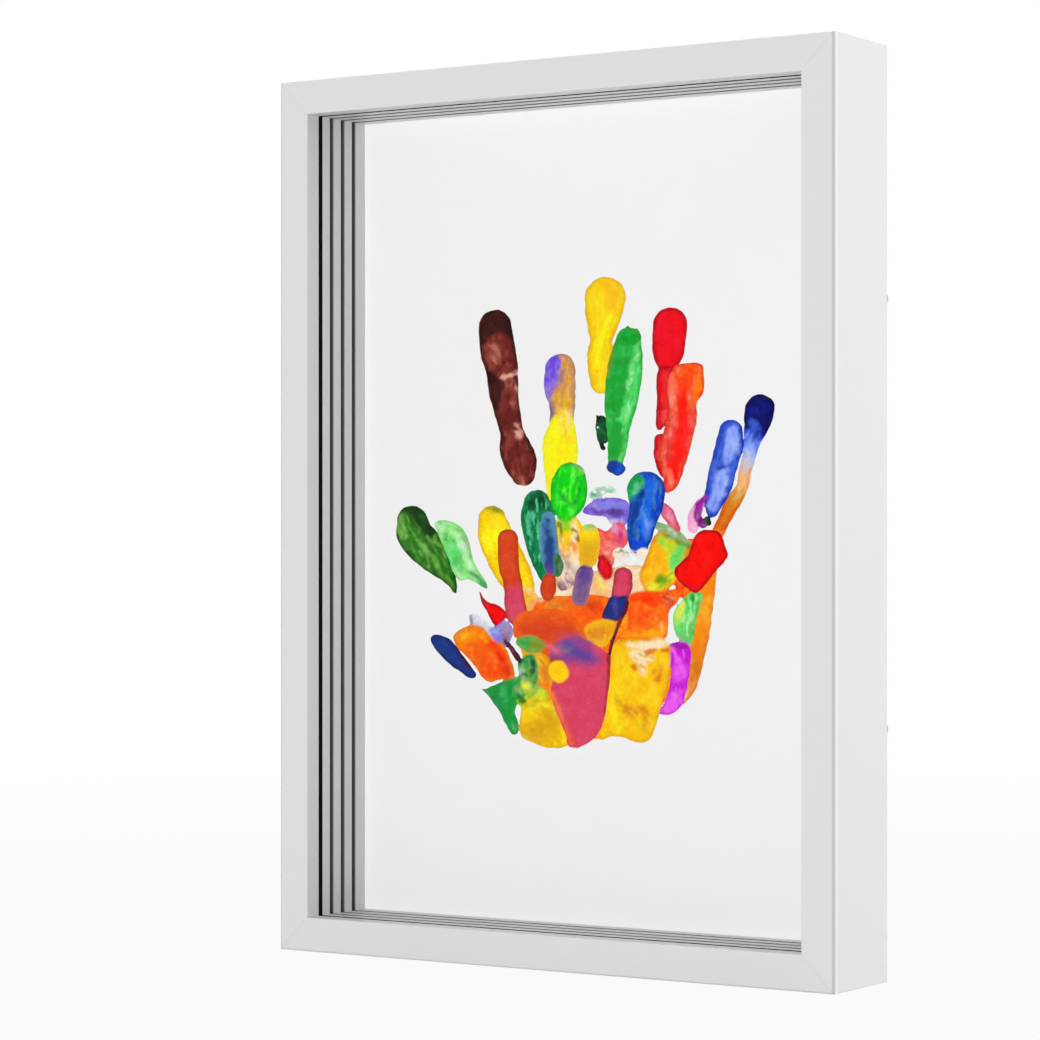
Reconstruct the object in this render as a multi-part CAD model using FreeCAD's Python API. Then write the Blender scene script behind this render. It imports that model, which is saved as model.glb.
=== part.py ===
"""Deep white box frame with four clear sheets in saw-cut slots, each carrying one painted handprint.

Millimetres. +X is to the right as the frame is looked at, +Y goes from the front to the back, +Z is up.
The origin is the centre of the underside, half way through the depth.
"""
import FreeCAD, Part
import os

V = FreeCAD.Vector
X_AXIS, Y_AXIS, Z_AXIS = V(1, 0, 0), V(0, 1, 0), V(0, 0, 1)
NOWHERE = V(0, 0, 0)

# Driving dimensions: the clear sheets
sheet_width = 210.0
sheet_height = 297.0
sheet_thickness = 1.5
sheet_corner_radius = 1.0
sheet_count = 4

# Driving dimensions: the rails round them
slot_clearance = 0.35
edge_clearance = 0.5
outer_wall = 5.5
groove_depth = 6.5
front_lip = 6.9
web_between_slots = 4.5
rear_web = 6.0
front_arris_radius = 0.8
sight_arris_radius = 0.3
rear_arris_radius = 0.5
overrun = 1.0

# Driving dimensions: the back
card_thickness = 0.3
board_thickness = 2.5
board_corner_radius = 1.5

# Driving dimensions: the nails across the mitres
nail_margin = 0.7
nail_thickness = 0.5
nail_cover = 1.0

# Driving dimensions: the turn buttons and their screws
button_thickness = 0.8
button_side_margin = 0.25
button_grip = 9.0
button_gap = 0.2
side_button_height_shares = (0.27, 0.73)
screw_shank_radius = 1.0
screw_depth = 7.0
screw_head_radius = 2.1
screw_head_height = 1.1
screw_head_gap = 0.1
pivot_clearance = 0.08
recess_width = 0.5
recess_depth = 0.5
recess_length_share = 0.7

# Driving dimensions: the toothed hanger and its rivets
hanger_length = 44.0
hanger_height = 9.0
hanger_thickness = 0.8
hanger_rise = 1.1
hanger_foot = 8.0
hanger_ramp = 2.0
hanger_drop = 22.0
tooth_pitch = 2.4
tooth_depth = 1.3
tooth_count = 9
rivet_shank_radius = 1.0
rivet_head_radius = 1.9
rivet_head_height = 0.6

# Driving dimensions: the paint, and the length of each print from its heel to its longest finger
paint_thickness = 0.15
smallest_hand = 80.5
small_hand = 98.0
large_hand = 142.0
largest_hand = 161.0

# Worked out from the sizes above
slot_width = sheet_thickness + 2 * slot_clearance
rail_width = outer_wall + groove_depth
frame_width = sheet_width + 2 * (edge_clearance + outer_wall)
frame_height = sheet_height + 2 * (edge_clearance + outer_wall)
slots_depth = sheet_count * slot_width + (sheet_count - 1) * web_between_slots
rebate_depth = card_thickness + board_thickness
frame_depth = front_lip + slots_depth + rear_web + rebate_depth
front_face = -frame_depth / 2
rear_face = frame_depth / 2
rebate_floor = rear_face - rebate_depth
pocket_width = sheet_width + 2 * edge_clearance

# Each print, in shares of its hand's length measured from the heel of the hand.
# A finger is tip x, tip z, root x, root z, width, number of pads. A palm and its bare hollow
# are outlines of x, z that a smooth closed curve goes through.
SMALLEST_SHARES = {
    "fingers": (
        (-0.73, 0.45, -0.52, 0.29, 0.10, 1),
        (-0.36, 0.92, -0.28, 0.54, 0.10, 3),
        (-0.15, 0.99, -0.12, 0.60, 0.09, 3),
        (0.07, 0.93, 0.02, 0.60, 0.10, 3),
        (0.25, 0.76, 0.12, 0.43, 0.10, 3),
    ),
    "palm": (
        (-0.31, 0.46), (-0.22, 0.56), (-0.08, 0.58), (0.09, 0.53), (0.17, 0.40), (0.16, 0.24),
        (0.12, 0.11), (0.01, 0.00), (-0.08, 0.05), (-0.12, 0.19), (-0.15, 0.30), (-0.24, 0.38),
    ),
    "hollow": (),
}
SMALL_SHARES = {
    "fingers": (
        (-0.40, 0.44, -0.13, 0.22, 0.17, 2),
        (-0.25, 0.86, -0.12, 0.48, 0.13, 3),
        (0.10, 1.00, 0.03, 0.60, 0.15, 2),
        (0.43, 0.96, 0.37, 0.62, 0.15, 2),
        (0.71, 0.76, 0.47, 0.52, 0.16, 2),
    ),
    "palm": (
        (-0.28, 0.20), (-0.16, 0.39), (-0.10, 0.51), (0.07, 0.54), (0.27, 0.53), (0.43, 0.56), (0.56, 0.50),
        (0.49, 0.37), (0.36, 0.26), (0.29, 0.14), (0.20, 0.03), (0.00, 0.00), (-0.12, 0.07), (-0.20, 0.12),
    ),
    "hollow": (),
}
LARGE_SHARES = {
    "fingers": (
        (-0.50, 0.53, -0.37, 0.36, 0.11, 1),
        (-0.20, 0.94, -0.18, 0.55, 0.10, 3),
        (0.01, 1.00, -0.04, 0.62, 0.10, 3),
        (0.17, 0.91, 0.10, 0.56, 0.11, 3),
        (0.29, 0.77, 0.20, 0.52, 0.09, 3),
    ),
    "palm": (
        (-0.07, 0.02), (-0.12, 0.13), (-0.16, 0.25), (-0.18, 0.37), (-0.15, 0.47), (-0.06, 0.51), (0.06, 0.51),
        (0.16, 0.48), (0.21, 0.38), (0.20, 0.25), (0.18, 0.14), (0.11, 0.07), (0.06, 0.01), (-0.02, 0.00),
    ),
    "hollow": (),
}
LARGEST_SHARES = {
    "fingers": (
        (-0.56, 0.50, -0.39, 0.31, 0.11, 2),
        (-0.30, 0.94, -0.20, 0.55, 0.09, 3),
        (-0.01, 1.00, -0.02, 0.58, 0.10, 3),
        (0.15, 0.93, 0.14, 0.56, 0.09, 3),
        (0.37, 0.74, 0.26, 0.49, 0.08, 3),
    ),
    "palm": (
        (0.06, 0.00), (-0.03, 0.01), (-0.12, 0.06), (-0.20, 0.15), (-0.25, 0.25), (-0.24, 0.35), (-0.20, 0.43),
        (-0.09, 0.47), (0.03, 0.47), (0.16, 0.47), (0.25, 0.46), (0.28, 0.42), (0.27, 0.33), (0.24, 0.20),
        (0.19, 0.10), (0.12, 0.03),
    ),
    "hollow": (
        (0.00, 0.17), (-0.09, 0.24), (-0.08, 0.33), (0.02, 0.36), (0.12, 0.33), (0.15, 0.25), (0.10, 0.18),
    ),
}
# Each print with its hand's length and where its heel sits, in shares of the sheet's width and height
PRINT_SHARES = (
    (smallest_hand, 0.043, 0.237, SMALLEST_SHARES),
    (small_hand, -0.038, 0.233, SMALL_SHARES),
    (large_hand, 0.105, 0.241, LARGE_SHARES),
    (largest_hand, 0.048, 0.236, LARGEST_SHARES),
)
# How wide a finger is in its creases, as a share of its pads' width
crease_share = 0.84


def box(x0, x1, y0, y1, z0, z1):
    """A box between two corners."""
    return Part.makeBox(x1 - x0, y1 - y0, z1 - z0, V(x0, y0, z0))


def prism(points, direction):
    """A flat outline of straight edges, pushed along a direction."""
    return Part.Face(Part.makePolygon(points + [points[0]])).extrude(direction)


def moved(shape, along):
    """A copy of a shape, shifted."""
    copy = shape.copy()
    copy.translate(along)
    return copy


def turned(shape, axis, degrees):
    """A copy of a shape, turned about an axis through the origin."""
    copy = shape.copy()
    copy.rotate(NOWHERE, axis, degrees)
    return copy


def slot_centre(number):
    """How far back the middle of a slot lies, counted from 1 at the front."""
    return front_face + front_lip + slot_width / 2 + (number - 1) * (slot_width + web_between_slots)


def rail_bar(length):
    """A straight bar along X with its outside face down on Z = 0 and its long edges eased."""
    half = length / 2
    bar = box(-half, half, front_face, rear_face, 0, rail_width)
    easing = {}
    for edge in bar.Edges:
        middle = edge.CenterOfMass
        if abs(middle.x) > half / 2:
            continue
        outside = middle.z < rail_width / 2
        if middle.y > 0:
            radius = rear_arris_radius
        elif outside:
            radius = front_arris_radius
        else:
            radius = sight_arris_radius
        easing.setdefault(radius, []).append(edge)
    for radius in easing:
        bar = ease_edges(bar, radius, easing[radius])
    return bar


def ease_edges(solid, radius, edges):
    """Round the edges of a solid that lie where the given edges lie."""
    places = [edge.CenterOfMass for edge in edges]
    found = [e for e in solid.Edges if any(e.CenterOfMass.isEqual(p, radius / 100) for p in places)]
    return solid.makeFillet(radius, found)


def mitred_rail(length):
    """The bar with both ends cut at 45 degrees, longest on its outside face."""
    half = length / 2
    reach = V(0, frame_depth + 2 * overrun, 0)
    y = front_face - overrun
    inner = half - rail_width
    outline = [V(-half, y, 0), V(half, y, 0), V(inner, y, rail_width), V(-inner, y, rail_width)]
    return rail_bar(length).common(prism(outline, reach))


def sheet_pocket(number):
    """What the saw takes out for one sheet: its slot in all four rails, open at the top."""
    y = slot_centre(number)
    half = pocket_width / 2
    return box(-half, half, y - slot_width / 2, y + slot_width / 2, outer_wall, frame_height + overrun)


def rear_rebate():
    """The step in the back of the rails that the card and the board lie in."""
    half = pocket_width / 2
    return box(-half, half, rebate_floor, rear_face + overrun, outer_wall, frame_height - outer_wall)


def corner_nails():
    """Four V-shaped nails, driven across the mitres from the floor of the rebate."""
    near, far = nail_margin, groove_depth - nail_margin
    front = rebate_floor - (rear_web - nail_cover)
    upright = box(near, near + nail_thickness, front, rebate_floor, near, far)
    level = box(near, far, front, rebate_floor, near, near + nail_thickness)
    one = upright.fuse(level).removeSplitter()
    opening_half = frame_width / 2 - rail_width
    top_right = moved(one, V(opening_half, 0, frame_height - rail_width))
    bottom_right = top_right.mirror(V(0, 0, frame_height / 2), Z_AXIS)
    right = [top_right, bottom_right]
    left = [nail.mirror(NOWHERE, X_AXIS) for nail in right]
    return Part.makeCompound(right + left)


def button_places():
    """Name, pivot x, pivot z and the turn that points each button at the board."""
    side = frame_width / 2 - outer_wall / 2
    low, high = [share * frame_height for share in side_button_height_shares]
    return (
        ("turn_button_right_lower", side, low, 180),
        ("turn_button_right_upper", side, high, 180),
        ("turn_button_left_lower", -side, low, 0),
        ("turn_button_left_upper", -side, high, 0),
        ("turn_button_top", 0, frame_height - outer_wall / 2, 90),
        ("turn_button_bottom", 0, outer_wall / 2, -90),
    )


def round_ended(run, radius, thickness):
    """A strip with round ends, their centres at the origin and at a run along +X, growing along +Y."""
    near, far, up = NOWHERE, V(run, 0, 0), V(0, 0, radius)
    sides = [Part.makeLine(near - up, far - up), Part.makeLine(far + up, near + up)]
    tip = Part.Arc(far - up, V(run + radius, 0, 0), far + up).toShape()
    heel = Part.Arc(near + up, V(-radius, 0, 0), near - up).toShape()
    outline = Part.Wire(Part.__sortEdges__(sides + [tip, heel]))
    return Part.Face(outline).extrude(V(0, thickness, 0))


def turn_button():
    """A flat steel plate with round ends, its pivot hole at the origin and its arm along +X."""
    radius = outer_wall / 2 - button_side_margin
    reach = outer_wall / 2 + edge_clearance + button_grip
    plate = round_ended(reach - radius, radius, button_thickness)
    hole_radius = screw_shank_radius + pivot_clearance
    hole = Part.makeCylinder(hole_radius, button_thickness + 2 * overrun, V(0, -overrun, 0), Y_AXIS)
    return plate.cut(hole)


def button_screw():
    """A small pan-head screw pointing forwards, with the frame's rear face at Y = 0."""
    under_head = button_gap + button_thickness + screw_head_gap
    shank = Part.makeCylinder(screw_shank_radius, screw_depth + under_head, V(0, -screw_depth, 0), Y_AXIS)
    head = Part.makeCylinder(screw_head_radius, screw_head_height, V(0, under_head, 0), Y_AXIS)
    rim = max(head.Edges, key=lambda edge: edge.CenterOfMass.y)
    head = head.makeFillet(screw_head_height / 2, [rim])
    top = under_head + screw_head_height
    long, short = recess_length_share * screw_head_radius, recess_width / 2
    for half_x, half_z in ((long, short), (short, long)):
        slot = box(-half_x, half_x, top - recess_depth, top + overrun, -half_z, half_z)
        head = head.cut(slot)
    return shank.fuse(head).removeSplitter()


def button_screws():
    """All six screws, in place."""
    one = button_screw()
    return Part.makeCompound([moved(one, V(x, rear_face, z)) for _, x, z, _ in button_places()])


def screw_holes():
    """What the screws take out of the rails."""
    holes = []
    for _, x, z, _ in button_places():
        start = V(x, rear_face - screw_depth, z)
        holes.append(Part.makeCylinder(screw_shank_radius, screw_depth + overrun, start, Y_AXIS))
    return holes


def make_rails():
    """The four mitred rails, with everything that is cut in them."""
    side = turned(mitred_rail(frame_height), Y_AXIS, 90)
    level = mitred_rail(frame_width)
    middle = frame_height / 2
    rails = {
        "bottom_rail": level,
        "top_rail": moved(turned(level, Y_AXIS, 180), V(0, 0, frame_height)),
        "left_rail": moved(side, V(-frame_width / 2, 0, middle)),
        "right_rail": moved(turned(side, Y_AXIS, 180), V(frame_width / 2, 0, middle)),
    }
    cuts = [sheet_pocket(number + 1) for number in range(sheet_count)]
    cuts += [rear_rebate(), corner_nails()] + screw_holes()
    return {name: rail.cut(cuts) for name, rail in rails.items()}


def plate(width, height, thickness, corner_radius):
    """An upright plate with rounded corners, standing on Z = 0 with its front on Y = 0."""
    body = box(-width / 2, width / 2, 0, thickness, 0, height)
    corners = [e for e in body.Edges if abs(e.tangentAt(e.FirstParameter).y) > 1 / 2]
    return body.makeFillet(corner_radius, corners)


def make_sheet(number):
    """A clear sheet, standing on the floor of its slot."""
    sheet = plate(sheet_width, sheet_height, sheet_thickness, sheet_corner_radius)
    return moved(sheet, V(0, slot_centre(number) - sheet_thickness / 2, outer_wall))


def paint(points):
    """A film of paint on the plane Y = 0, growing forwards, inside a smooth closed curve."""
    curve = Part.BSplineCurve()
    curve.interpolate(Points=points, PeriodicFlag=True)
    film = Part.Face(Part.Wire([curve.toShape()])).extrude(V(0, -paint_thickness, 0))
    if film.Volume < 0:
        film.reverse()
    return film


def finger_outline(length, tip_x, tip_z, root_x, root_z, width, pads):
    """Points round a finger: full width at the middle of each pad, drawn in at the creases between."""
    tip = V(tip_x * length, 0, tip_z * length)
    run = V(root_x * length, 0, root_z * length) - tip
    side = V(run.z, 0, -run.x).normalize() * (width * length / 2)
    right, left = [], []
    for step in range(1, 2 * pads):
        middle = tip + run * (step / (2 * pads))
        out = side * (1 if step % 2 else crease_share)
        right.append(middle + out)
        left.append(middle - out)
    return [tip] + right + [tip + run] + left[::-1]


def make_print(number):
    """One handprint: its palm and its fingers, joined where they run together."""
    length, across, up, shares = PRINT_SHARES[number - 1]
    palm = paint([V(x * length, 0, z * length) for x, z in shares["palm"]])
    if shares["hollow"]:
        palm = palm.cut(paint([V(x * length, 0, z * length) for x, z in shares["hollow"]]))
    fingers = [paint(finger_outline(length, *finger)) for finger in shares["fingers"]]
    joined = palm.multiFuse(fingers).removeSplitter()
    sheet_front = slot_centre(number) - sheet_thickness / 2
    heel = V(across * sheet_width, sheet_front, outer_wall + up * sheet_height)
    return moved(joined, heel)


def make_card():
    """The plain card that the prints are seen against."""
    card = box(-sheet_width / 2, sheet_width / 2, 0, card_thickness, 0, sheet_height)
    return moved(card, V(0, rebate_floor, outer_wall))


def rivet_places():
    """Where the two rivets of the hanger go through the board."""
    x = hanger_length / 2 - hanger_foot / 2
    z = outer_wall + sheet_height - hanger_drop
    return [V(-x, rear_face, z), V(x, rear_face, z)]


def make_board():
    """The back board, flush with the back of the rails."""
    board = plate(sheet_width, sheet_height, board_thickness, board_corner_radius)
    board = moved(board, V(0, rear_face - board_thickness, outer_wall))
    for place in rivet_places():
        start = place - V(0, board_thickness + overrun, 0)
        board = board.cut(Part.makeCylinder(rivet_shank_radius, board_thickness + 2 * overrun, start, Y_AXIS))
    return board


def make_hanger():
    """A pressed strip with two flat feet and a raised bar, its lower edge cut in teeth for a nail."""
    half = hanger_length / 2
    ramp_start = half - hanger_foot
    ramp_end = ramp_start - hanger_ramp
    right = [(ramp_end, hanger_rise), (ramp_start, 0), (half, 0)]
    line = [(-x, y) for x, y in reversed(right)] + right
    back = [(x, y + hanger_thickness) for x, y in reversed(line)]
    strip = prism([V(x, y, 0) for x, y in line + back], V(0, 0, hanger_height))
    through = V(0, hanger_rise + hanger_thickness + 2 * overrun, 0)
    for index in range(tooth_count):
        x = (index - (tooth_count - 1) / 2) * tooth_pitch
        corners = [V(x - tooth_pitch / 2, -overrun, -overrun), V(x - tooth_pitch / 2, -overrun, 0)]
        corners += [V(x, -overrun, tooth_depth), V(x + tooth_pitch / 2, -overrun, 0)]
        corners += [V(x + tooth_pitch / 2, -overrun, -overrun)]
        strip = strip.cut(prism(corners, through))
    for place in rivet_places():
        start = V(place.x, -overrun, hanger_height / 2)
        strip = strip.cut(Part.makeCylinder(rivet_shank_radius, hanger_thickness + 2 * overrun, start, Y_AXIS))
    return moved(strip, V(0, rear_face, rivet_places()[0].z - hanger_height / 2))


def make_rivets():
    """The two rivets that hold the hanger to the board."""
    rivets = []
    for place in rivet_places():
        shank_start = place - V(0, board_thickness, 0)
        shank = Part.makeCylinder(rivet_shank_radius, board_thickness + hanger_thickness, shank_start, Y_AXIS)
        head_start = place + V(0, hanger_thickness, 0)
        head = Part.makeCylinder(rivet_head_radius, rivet_head_height, head_start, Y_AXIS)
        rivets.append(shank.fuse(head).removeSplitter())
    return Part.makeCompound(rivets)


def make_buttons():
    """The six turn buttons, closed over the board."""
    one = turn_button()
    buttons = {}
    for name, x, z, turn in button_places():
        buttons[name] = moved(turned(one, Y_AXIS, turn), V(x, rear_face + button_gap, z))
    return buttons


def main():
    """Make every piece and write one file for each."""
    pieces = make_rails()
    for number in range(1, sheet_count + 1):
        pieces["acrylic_sheet_%d" % number] = make_sheet(number)
        pieces["handprint_%d" % number] = make_print(number)
    pieces["background_card"] = make_card()
    pieces["back_board"] = make_board()
    pieces.update(make_buttons())
    pieces["turn_button_screws"] = button_screws()
    pieces["corner_nails"] = corner_nails()
    pieces["sawtooth_hanger"] = make_hanger()
    pieces["hanger_rivets"] = make_rivets()
    os.makedirs("parts", exist_ok=True)
    for name, shape in pieces.items():
        shape.exportStep("parts/%s.step" % name)
        size = shape.BoundBox
        print("%-24s %7.2f x %6.2f x %7.2f  solids %d  valid %s"
              % (name, size.XLength, size.YLength, size.ZLength, len(shape.Solids), shape.isValid()))


main()
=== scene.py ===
# %% [markdown]
# A deep frame with a painted hand on each of its four clear sheets.
#
# The object is a white box frame whose rails are sawn with four slots. An A4 sheet of clear acrylic
# slides down each slot, and each sheet carries the print of one hand, the smallest in front. The
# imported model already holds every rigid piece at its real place, so it is loaded first and never
# moved. What is left to do here is light, finish, and the paint itself.

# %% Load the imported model
import math
import bpy
import numpy as np
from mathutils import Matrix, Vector


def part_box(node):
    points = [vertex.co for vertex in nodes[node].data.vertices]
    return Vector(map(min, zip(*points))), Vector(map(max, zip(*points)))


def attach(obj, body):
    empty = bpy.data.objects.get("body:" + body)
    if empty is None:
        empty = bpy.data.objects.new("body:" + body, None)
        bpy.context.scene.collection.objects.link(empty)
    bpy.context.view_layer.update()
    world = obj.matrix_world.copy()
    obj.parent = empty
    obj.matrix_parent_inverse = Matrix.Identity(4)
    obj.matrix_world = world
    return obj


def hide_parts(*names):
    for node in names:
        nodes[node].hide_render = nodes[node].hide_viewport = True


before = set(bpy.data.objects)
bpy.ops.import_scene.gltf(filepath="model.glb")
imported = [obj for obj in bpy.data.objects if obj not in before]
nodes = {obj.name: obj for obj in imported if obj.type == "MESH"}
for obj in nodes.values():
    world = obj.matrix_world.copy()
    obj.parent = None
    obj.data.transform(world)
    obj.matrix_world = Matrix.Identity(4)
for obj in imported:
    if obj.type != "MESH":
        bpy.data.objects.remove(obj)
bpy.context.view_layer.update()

# %% [markdown]
# Every size that a pattern follows is read from the model instead of typed again. A finish such as
# the bare core and the painted shade inside the saw cuts then stays in the cuts if the model is
# packed with other sizes.

# %% Sizes read from the model
MM = 0.001
SHEETS = (1, 2, 3, 4)
left_low, left_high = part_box("left_rail")
frame_height = left_high.z
frame_half_width = -left_low.x
front_face = left_low.y
sheet_low, sheet_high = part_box("acrylic_sheet_1")
sheet_half_width = sheet_high.x
sheet_fronts = {number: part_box("acrylic_sheet_%d" % number)[0].y for number in SHEETS}
sheet_thickness = sheet_high.y - sheet_low.y
first_slot = sheet_fronts[1] + sheet_thickness / 2
slot_pitch = sheet_fronts[2] - sheet_fronts[1]
print("frame %.0f x %.0f mm" % (2 * frame_half_width / MM, frame_height / MM))
print("slots %.1f mm apart" % (slot_pitch / MM))

# %% [markdown]
# The camera comes next, because the paint is placed through it. Twelve straight edges of the frame
# fix it: the lens, how far round to the right it stands, and the height of the horizon. The camera
# looks level, so upright edges stay parallel, and a small vertical shift moves the horizon down.

# %% Camera
PHOTO_SIDE = 1040
FOCAL_LENGTH = 3340
HORIZON = 545.2
YAW = math.radians(32.97)
EYE = (0.6091, -0.9719, 0.1441)
SENSOR_WIDTH = 36

camera_data = bpy.data.cameras.new("camera")
camera_data.sensor_width = SENSOR_WIDTH
camera_data.lens = SENSOR_WIDTH * FOCAL_LENGTH / PHOTO_SIDE
camera_data.shift_y = (HORIZON - PHOTO_SIDE / 2) / PHOTO_SIDE
camera = bpy.data.objects.new("camera", camera_data)
camera.location = EYE
camera.rotation_euler = (math.pi / 2, 0, YAW)
bpy.context.scene.collection.objects.link(camera)
bpy.context.scene.camera = camera
print("lens %.1f mm" % camera_data.lens)

# %% [markdown]
# Shader maths reads best as ordinary expressions. A small class wraps one socket, and each operator
# adds a Math node, so a mask is written as `abs(x) < half`. Any other node comes from one method
# that takes its type, its settings and what its sockets hold.

# %% Shader helper
class Wire:
    """A number that flows between nodes. Operators on it add Math nodes."""

    def __init__(self, finish, socket):
        self.finish = finish
        self.socket = socket

    def math(self, operation, *others):
        """A Math node of this operation, with this wire first and the others after it."""
        return self.finish.node("ShaderNodeMath", {"operation": operation}, dict(enumerate((self,) + others)))

    def __add__(self, other):
        return self.math("ADD", other)

    def __sub__(self, other):
        return self.math("SUBTRACT", other)

    def __rsub__(self, other):
        return self.finish.node("ShaderNodeMath", {"operation": "SUBTRACT"}, {0: other, 1: self})

    def __mul__(self, other):
        return self.math("MULTIPLY", other)

    def __truediv__(self, other):
        return self.math("DIVIDE", other)

    def __lt__(self, other):
        return self.math("LESS_THAN", other)

    def __gt__(self, other):
        return self.math("GREATER_THAN", other)

    def __pow__(self, other):
        return self.math("POWER", other)

    def __abs__(self):
        return self.math("ABSOLUTE")

    __radd__ = __add__
    __rmul__ = __mul__


class Finish:
    """The node tree of a material or the world, emptied, with the methods that fill it."""

    def __init__(self, owner):
        owner.use_nodes = True
        self.owner = owner
        self.tree = owner.node_tree
        self.tree.nodes.clear()

    def node(self, kind, settings=None, sockets=None, output=0):
        """Add a node: its settings first, then a value or a Wire for each named or numbered socket."""
        made = self.tree.nodes.new(kind)
        for name, value in (settings or {}).items():
            setattr(made, name, value)
        for name, value in (sockets or {}).items():
            if isinstance(value, Wire):
                self.tree.links.new(value.socket, made.inputs[name])
            else:
                made.inputs[name].default_value = value
        return Wire(self, made.outputs[output])

    def place(self):
        """The x, y and z of the point being shaded, in the object's own metres, and all three as one."""
        whole = self.node("ShaderNodeTexCoord", output="Object")
        parts = self.node("ShaderNodeSeparateXYZ", sockets={0: whole}).socket.node
        return [Wire(self, socket) for socket in parts.outputs] + [whole]

    def seen(self):
        """1 for what the camera sees, straight on, mirrored or through something clear, and 0 for light."""
        rays = self.node("ShaderNodeLightPath").socket.node.outputs
        straight, mirrored, through = [
            Wire(self, rays[name]) for name in ("Is Camera Ray", "Is Glossy Ray", "Is Transmission Ray")]
        return straight.math("MAXIMUM", mirrored).math("MAXIMUM", through)

    def noise(self, grain, detail=2.0, stretch=(1, 1, 1), turn=0.0):
        """Smooth noise from 0 to 1, its bumps about one grain apart, drawn out where stretch is under 1.

        turn is the angle by which the pattern is turned about the front-to-back axis.
        """
        at = self.place()[3]
        if turn:
            at = self.node("ShaderNodeMapping", sockets={"Vector": at, "Rotation": (0, turn, 0)})
        at = self.node("ShaderNodeMapping", sockets={"Vector": at, "Scale": stretch})
        return self.node("ShaderNodeTexNoise", sockets={"Vector": at, "Scale": 1 / grain, "Detail": detail})

    def between(self, value, low, high, to_low=0.0, to_high=1.0):
        """Carry the range low to high smoothly over to another range, and hold it beyond the ends."""
        settings = {"interpolation_type": "SMOOTHSTEP"}
        sockets = {"Value": value, "From Min": low, "From Max": high, "To Min": to_low, "To Max": to_high}
        return self.node("ShaderNodeMapRange", settings, sockets)

    def mix(self, share, first, second, how="MIX"):
        """Mix two colours."""
        settings = {"data_type": "RGBA", "blend_type": how}
        return self.node("ShaderNodeMix", settings, {0: share, 6: first, 7: second}, output=2)

    def bump(self, height, depth):
        """A normal from a height between 0 and 1 that stands for a relief of the given depth."""
        return self.node("ShaderNodeBump", sockets={"Height": height, "Distance": depth, "Strength": 1.0})

    def principled(self, **sockets):
        """The usual surface shader, its sockets named with _ for each space."""
        named = {name.replace("_", " "): value for name, value in sockets.items()}
        return self.node("ShaderNodeBsdfPrincipled", sockets=named)

    def show(self, shader, kind="ShaderNodeOutputMaterial"):
        """Send a shader to the output."""
        output = self.tree.nodes.new(kind)
        self.tree.links.new(shader.socket, output.inputs["Surface"])
        return self.owner


def new_finish(name):
    """An empty material of this name."""
    return Finish(bpy.data.materials.new(name))


NOISE_RANGE = (0.3, 0.7)


def grey(level):
    """A neutral colour."""
    return (level, level, level, 1)


print("shader helper ready, noise mostly from %.1f to %.1f" % NOISE_RANGE)

# %% [markdown]
# The light is a plain studio, and its first part is an even pale surround. It is white to the camera
# and to gloss, and dimmer where it only lights the object, so a white ground costs no overexposure.

# %% Surround
SURROUND_LEVEL = 0.28


def light_surround():
    """The world: white where it is seen or mirrored, and the given level where it only lights."""
    world = bpy.data.worlds.new("surround")
    bpy.context.scene.world = world
    finish = Finish(world)
    strength = SURROUND_LEVEL + finish.seen() * (1 - SURROUND_LEVEL)
    ground = finish.node("ShaderNodeBackground", sockets={"Color": grey(1), "Strength": strength})
    finish.show(ground, "ShaderNodeOutputWorld")


light_surround()
bpy.context.scene.view_settings.view_transform = "Standard"
print("surround lights at", SURROUND_LEVEL)

# %% [markdown]
# Five large soft lamps do the rest. One lamp would leave the deep inside walls dark, so there is one
# for each side that shows: the front, the top and the back, and a left and a right one that make the
# frame's side paler than its face. Gloss doesn't mirror them, because a lamp's sharp white outline
# in the clear sheets would hide the prints.

# %% Lamps
MIDDLE = (0, 0, frame_height / 2)
LAMPS = {
    "front_softbox": {"place": (0.30, -2.60, 0.20), "wide": 0.9, "tall": 0.3, "watts": 41.0},
    "right_softbox": {"place": (1.90, 0.26, 0.45), "wide": 1.0, "tall": 1.0, "watts": 22.5},
    "left_softbox": {"place": (-1.90, 0.05, 0.50), "wide": 1.0, "tall": 1.0, "watts": 19.0},
    "top_softbox": {"place": (0.00, 0.25, 2.10), "wide": 1.0, "tall": 1.0, "watts": 14.0},
    "rear_softbox": {"place": (0.40, 2.50, 0.50), "wide": 1.0, "tall": 1.0, "watts": 33.0},
}


def hang_lamp(name, place, wide, tall, watts):
    """A flat lamp that faces the middle of the frame, and isn't mirrored: gloss shows the surround."""
    light = bpy.data.lights.new(name, "AREA")
    light.shape = "RECTANGLE"
    light.size = wide
    light.size_y = tall
    light.energy = watts
    lamp = bpy.data.objects.new(name, light)
    lamp.location = place
    lamp.visible_glossy = False
    lamp.rotation_mode = "QUATERNION"
    lamp.rotation_quaternion = (Vector(MIDDLE) - Vector(place)).to_track_quat("-Z", "Y")
    bpy.context.scene.collection.objects.link(lamp)


for lamp_name, lamp_settings in LAMPS.items():
    hang_lamp(lamp_name, **lamp_settings)
print("lamps:", ", ".join(LAMPS))

# %% [markdown]
# The floor is one large pale square. Lit like anything else it would turn grey with distance, so to
# the camera it is mostly its own white, and only a soft share of the real light and shadow is left
# near the frame.

# %% Floor
FLOOR_REACH = 6.0
FLOOR_DROP = 0.1 * MM
FLOOR_GLOW = 0.92
FLOOR_GREY = 0.58
FLOOR_NEAR, FLOOR_FAR = 0.25, 1.1


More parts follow.
